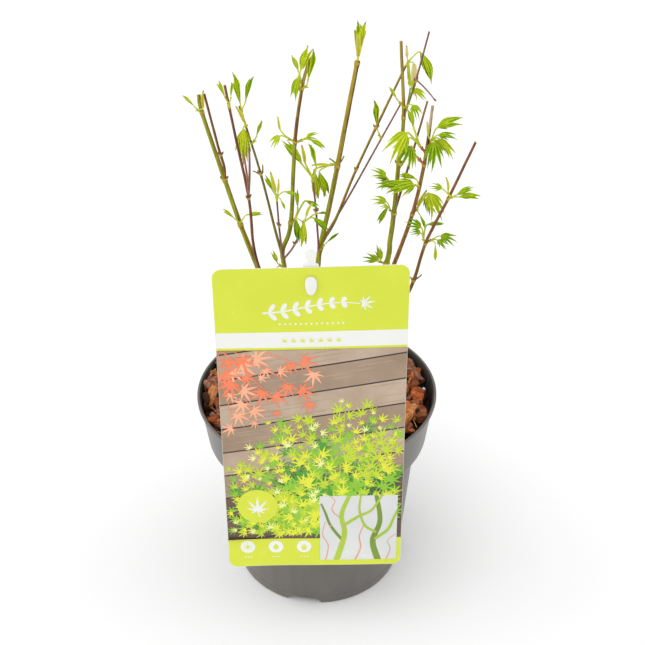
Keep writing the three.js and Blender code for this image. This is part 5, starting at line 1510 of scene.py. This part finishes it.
def build_card():
    """White card with a lime printed front, and everything printed on it, one piece for each ink."""
    half, top = CARD["width"] / 2, CARD["length"] / 2
    core = field(-half, half, -top, top, -SKIN, SKIN, CARD["corner"])
    piece("card_core", [core], [WHITE_PLASTIC], ["label_card"], 30)
    shapes = {name: [] for name in INKS}
    u, v = half - PRINT_EDGE, top - PRINT_EDGE
    shapes["lime"].append(field(-u, u, -v, v, SKIN - PRINT_SINK, depth_of(0), CARD["corner"] - PRINT_EDGE))
    shapes["board_gap"].append(field(**PICTURE, low=SKIN, high=depth_of(1)))
    picture(shapes)
    inset(shapes)
    symbols(shapes)
    header(shapes)
    for name, made in shapes.items():
        piece(f"print_{name}", made, [INKS[name]], ["label_card"], 30)


PEG = dict(down=11.9, width=7.6, height=12.3, thick=2.2)  # `down` from the card's top edge to its middle
# Stick: its head's radius, and how far over the card's top the head's middle is, how far below the peg the
# stick leaves the card's back, where it meets the ground, and the length and half width of its point.
STAKE = dict(width=6.5, thick=1.7, head=3.8, above=8, knee=15, foot_y=-75, foot_z=112, point=14, tip=0.6)
NECK = [(0.3, 5.2), (1.7, 5.0), (2.7, 2.7), (3.6, 2.3)]  # heights over the card's top edge, and half widths
SHANK = dict(half=1.1, reach=2, back=0.4, front=0.8)  # the peg's stem through the card
STAKE_EDGE = 0.45  # rounding of the stake's edges


def upright_prism(outline, low, high):
    """Prism square to the card from an anticlockwise outline, between two depths."""
    outline = np.asarray(outline, float)
    straight = [CARD_MIDDLE + outline[:, :1] * CARD_ACROSS + outline[:, 1:] * CARD_UP + depth * CARD_FRONT
                for depth in (low, high)]
    return closed_rings(np.stack(straight)[None])


def build_stake():
    """Moulded white stake: stick behind the card, neck, round head, peg through the card and pointed foot."""
    s, p = STAKE, PEG
    top, peg_v = CARD["length"] / 2, CARD["length"] / 2 - PEG["down"]
    back = -(SKIN + GAP + s["thick"])
    w = s["width"] / 2
    rings = []
    for z, half in ((s["foot_z"], s["tip"]), (s["foot_z"] + s["point"], w)):
        rings.append([[CARD["x"] + across * half, s["foot_y"] + depth * s["thick"] / 2, z]
                      for across, depth in ((-1, -1), (1, -1), (1, 1), (-1, 1))])
    head_v = top + s["above"]
    round_head = [(head_v + s["head"] * math.sin(a), s["head"] * math.cos(a))
                  for a in np.linspace(-1.1, 1.5, 14)]
    neck = [(top + over, half) for over, half in NECK]
    profile = [(peg_v - s["knee"], w), (top - 0.5, w), *neck, *round_head]
    for v, half in profile:
        rings.append([CARD_MIDDLE + across * half * CARD_ACROSS + v * CARD_UP + (back + depth) * CARD_FRONT
                      for across, depth in ((-1, s["thick"]), (1, s["thick"]), (1, 0), (-1, 0))])
    a = TURN * np.arange(40) / 40
    wide = np.sign(np.cos(a)) * np.abs(np.cos(a)) ** 0.8 * (1 + 0.16 * np.sin(a))
    oval = np.stack([p["width"] / 2 * wide, peg_v + p["height"] / 2 * np.sin(a)], -1)
    shank = [(across * SHANK["half"], peg_v + up * SHANK["reach"])
             for across, up in ((-1, -1), (1, -1), (1, 1), (-1, 1))]
    shapes = [closed_rings(np.array(rings, float)[None]),
              upright_prism(shank, -SKIN - GAP - SHANK["back"], SHANK["front"]),
              upright_prism(oval, SKIN + GAP, SKIN + GAP + p["thick"])]
    stake = piece("stake", shapes, [WHITE_PLASTIC], ["label_stake"], 40)
    edge = stake.modifiers.new("rounded_edges", "BEVEL")
    edge.width = STAKE_EDGE * MM
    edge.segments = 3
    edge.limit_method = "ANGLE"
    edge.angle_limit = math.radians(40)


# Studio

# The photograph's camera: angles in radians, distance to the point aimed at and that point's height in
# millimetres, and focal length in the photograph's pixels
CAMERA = dict(pitch=0.5744, distance=700.62, focal=919.01, roll=-0.0121, yaw=0.007, aim_z=233.36)
PHOTO_WIDTH = 645
SENSOR = 36
FLOOR_HALF, FLOOR_Z = 6000.0, -0.15  # half its side, and how far under the pot it lies
SURROUNDINGS = 0.80  # strength of the white surroundings
# Name, bearing, rise, strength and softness of each light
LAMPS = (("key", -122, 58, 0.62, 40), ("fill", -40, 50, 0.12, 50), ("left", 172, 20, 0.9, 60),
         ("right", 8, 20, 0.5, 60))
LAMP_DISTANCE = 2000


def stand(thing, right, top, back, place):
    """Puts a lamp or camera at a place, its own three axes turned to the given directions."""
    turn = np.eye(4)
    turn[:3, :3] = np.stack([right, top, back], -1)
    turn[:3, 3] = place * MM
    thing.matrix_world = Matrix(turn)


def studio():
    """White floor and surroundings, broad soft lights above and beside, and the photograph's camera."""
    scene = bpy.context.scene
    scene.view_settings.view_transform = "Standard"
    x, y = np.meshgrid([-FLOOR_HALF, FLOOR_HALF], [-FLOOR_HALF, FLOOR_HALF])
    mesh = bpy.data.meshes.new("floor")
    points = np.stack([x, y, np.full_like(x, FLOOR_Z)], -1).reshape(-1, 3) * MM
    mesh.from_pydata(points.tolist(), [], [[0, 1, 3, 2]])
    mesh.materials.append(finish("floor_paint", ["fafafa", "fcfcfc"], (0.6, 0.65), 400))
    floor = bpy.data.objects.new("floor", mesh)
    scene.collection.objects.link(floor)
    world = bpy.data.worlds.new("studio")
    scene.world = world
    world.use_nodes = True
    sky = world.node_tree.nodes["Background"]
    sky.inputs["Color"].default_value = (1.0, 1.0, 1.0, 1.0)
    sky.inputs["Strength"].default_value = SURROUNDINGS
    for name, bearing, rise, strength, softness in LAMPS:
        lamp = bpy.data.lights.new(name, "SUN")
        lamp.energy = strength
        lamp.angle = math.radians(softness)
        light = bpy.data.objects.new(name, lamp)
        scene.collection.objects.link(light)
        back = toward(bearing, rise)
        side = unit(np.cross(UP, back))
        stand(light, side, np.cross(back, side), back, back * LAMP_DISTANCE)
    c = CAMERA
    fwd = np.array([0, math.cos(c["pitch"]), -math.sin(c["pitch"])])
    place = -c["distance"] * fwd + np.array([0, 0, c["aim_z"]])
    right = np.array([1.0, 0, 0])
    up = np.cross(right, fwd)
    fwd, right = (fwd * math.cos(c["yaw"]) + right * math.sin(c["yaw"]),
                  right * math.cos(c["yaw"]) - fwd * math.sin(c["yaw"]))
    right, up = (right * math.cos(c["roll"]) + up * math.sin(c["roll"]),
                 up * math.cos(c["roll"]) - right * math.sin(c["roll"]))
    lens = bpy.data.cameras.new("camera")
    lens.sensor_width = SENSOR
    lens.lens = c["focal"] * SENSOR / PHOTO_WIDTH
    lens.clip_start = 0.01
    camera = bpy.data.objects.new("camera", lens)
    scene.collection.objects.link(camera)
    stand(camera, right, up, -fwd, place)
    scene.camera = camera


studio()
piece("pot_wall", [pot_shape()], [POT_PLASTIC, POT_INSIDE_SHADE], ["pot"], 40)
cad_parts["compost"].material_slots[0].material = COMPOST
build_mulch()
build_stems()
build_leaves()
build_card()
build_stake()
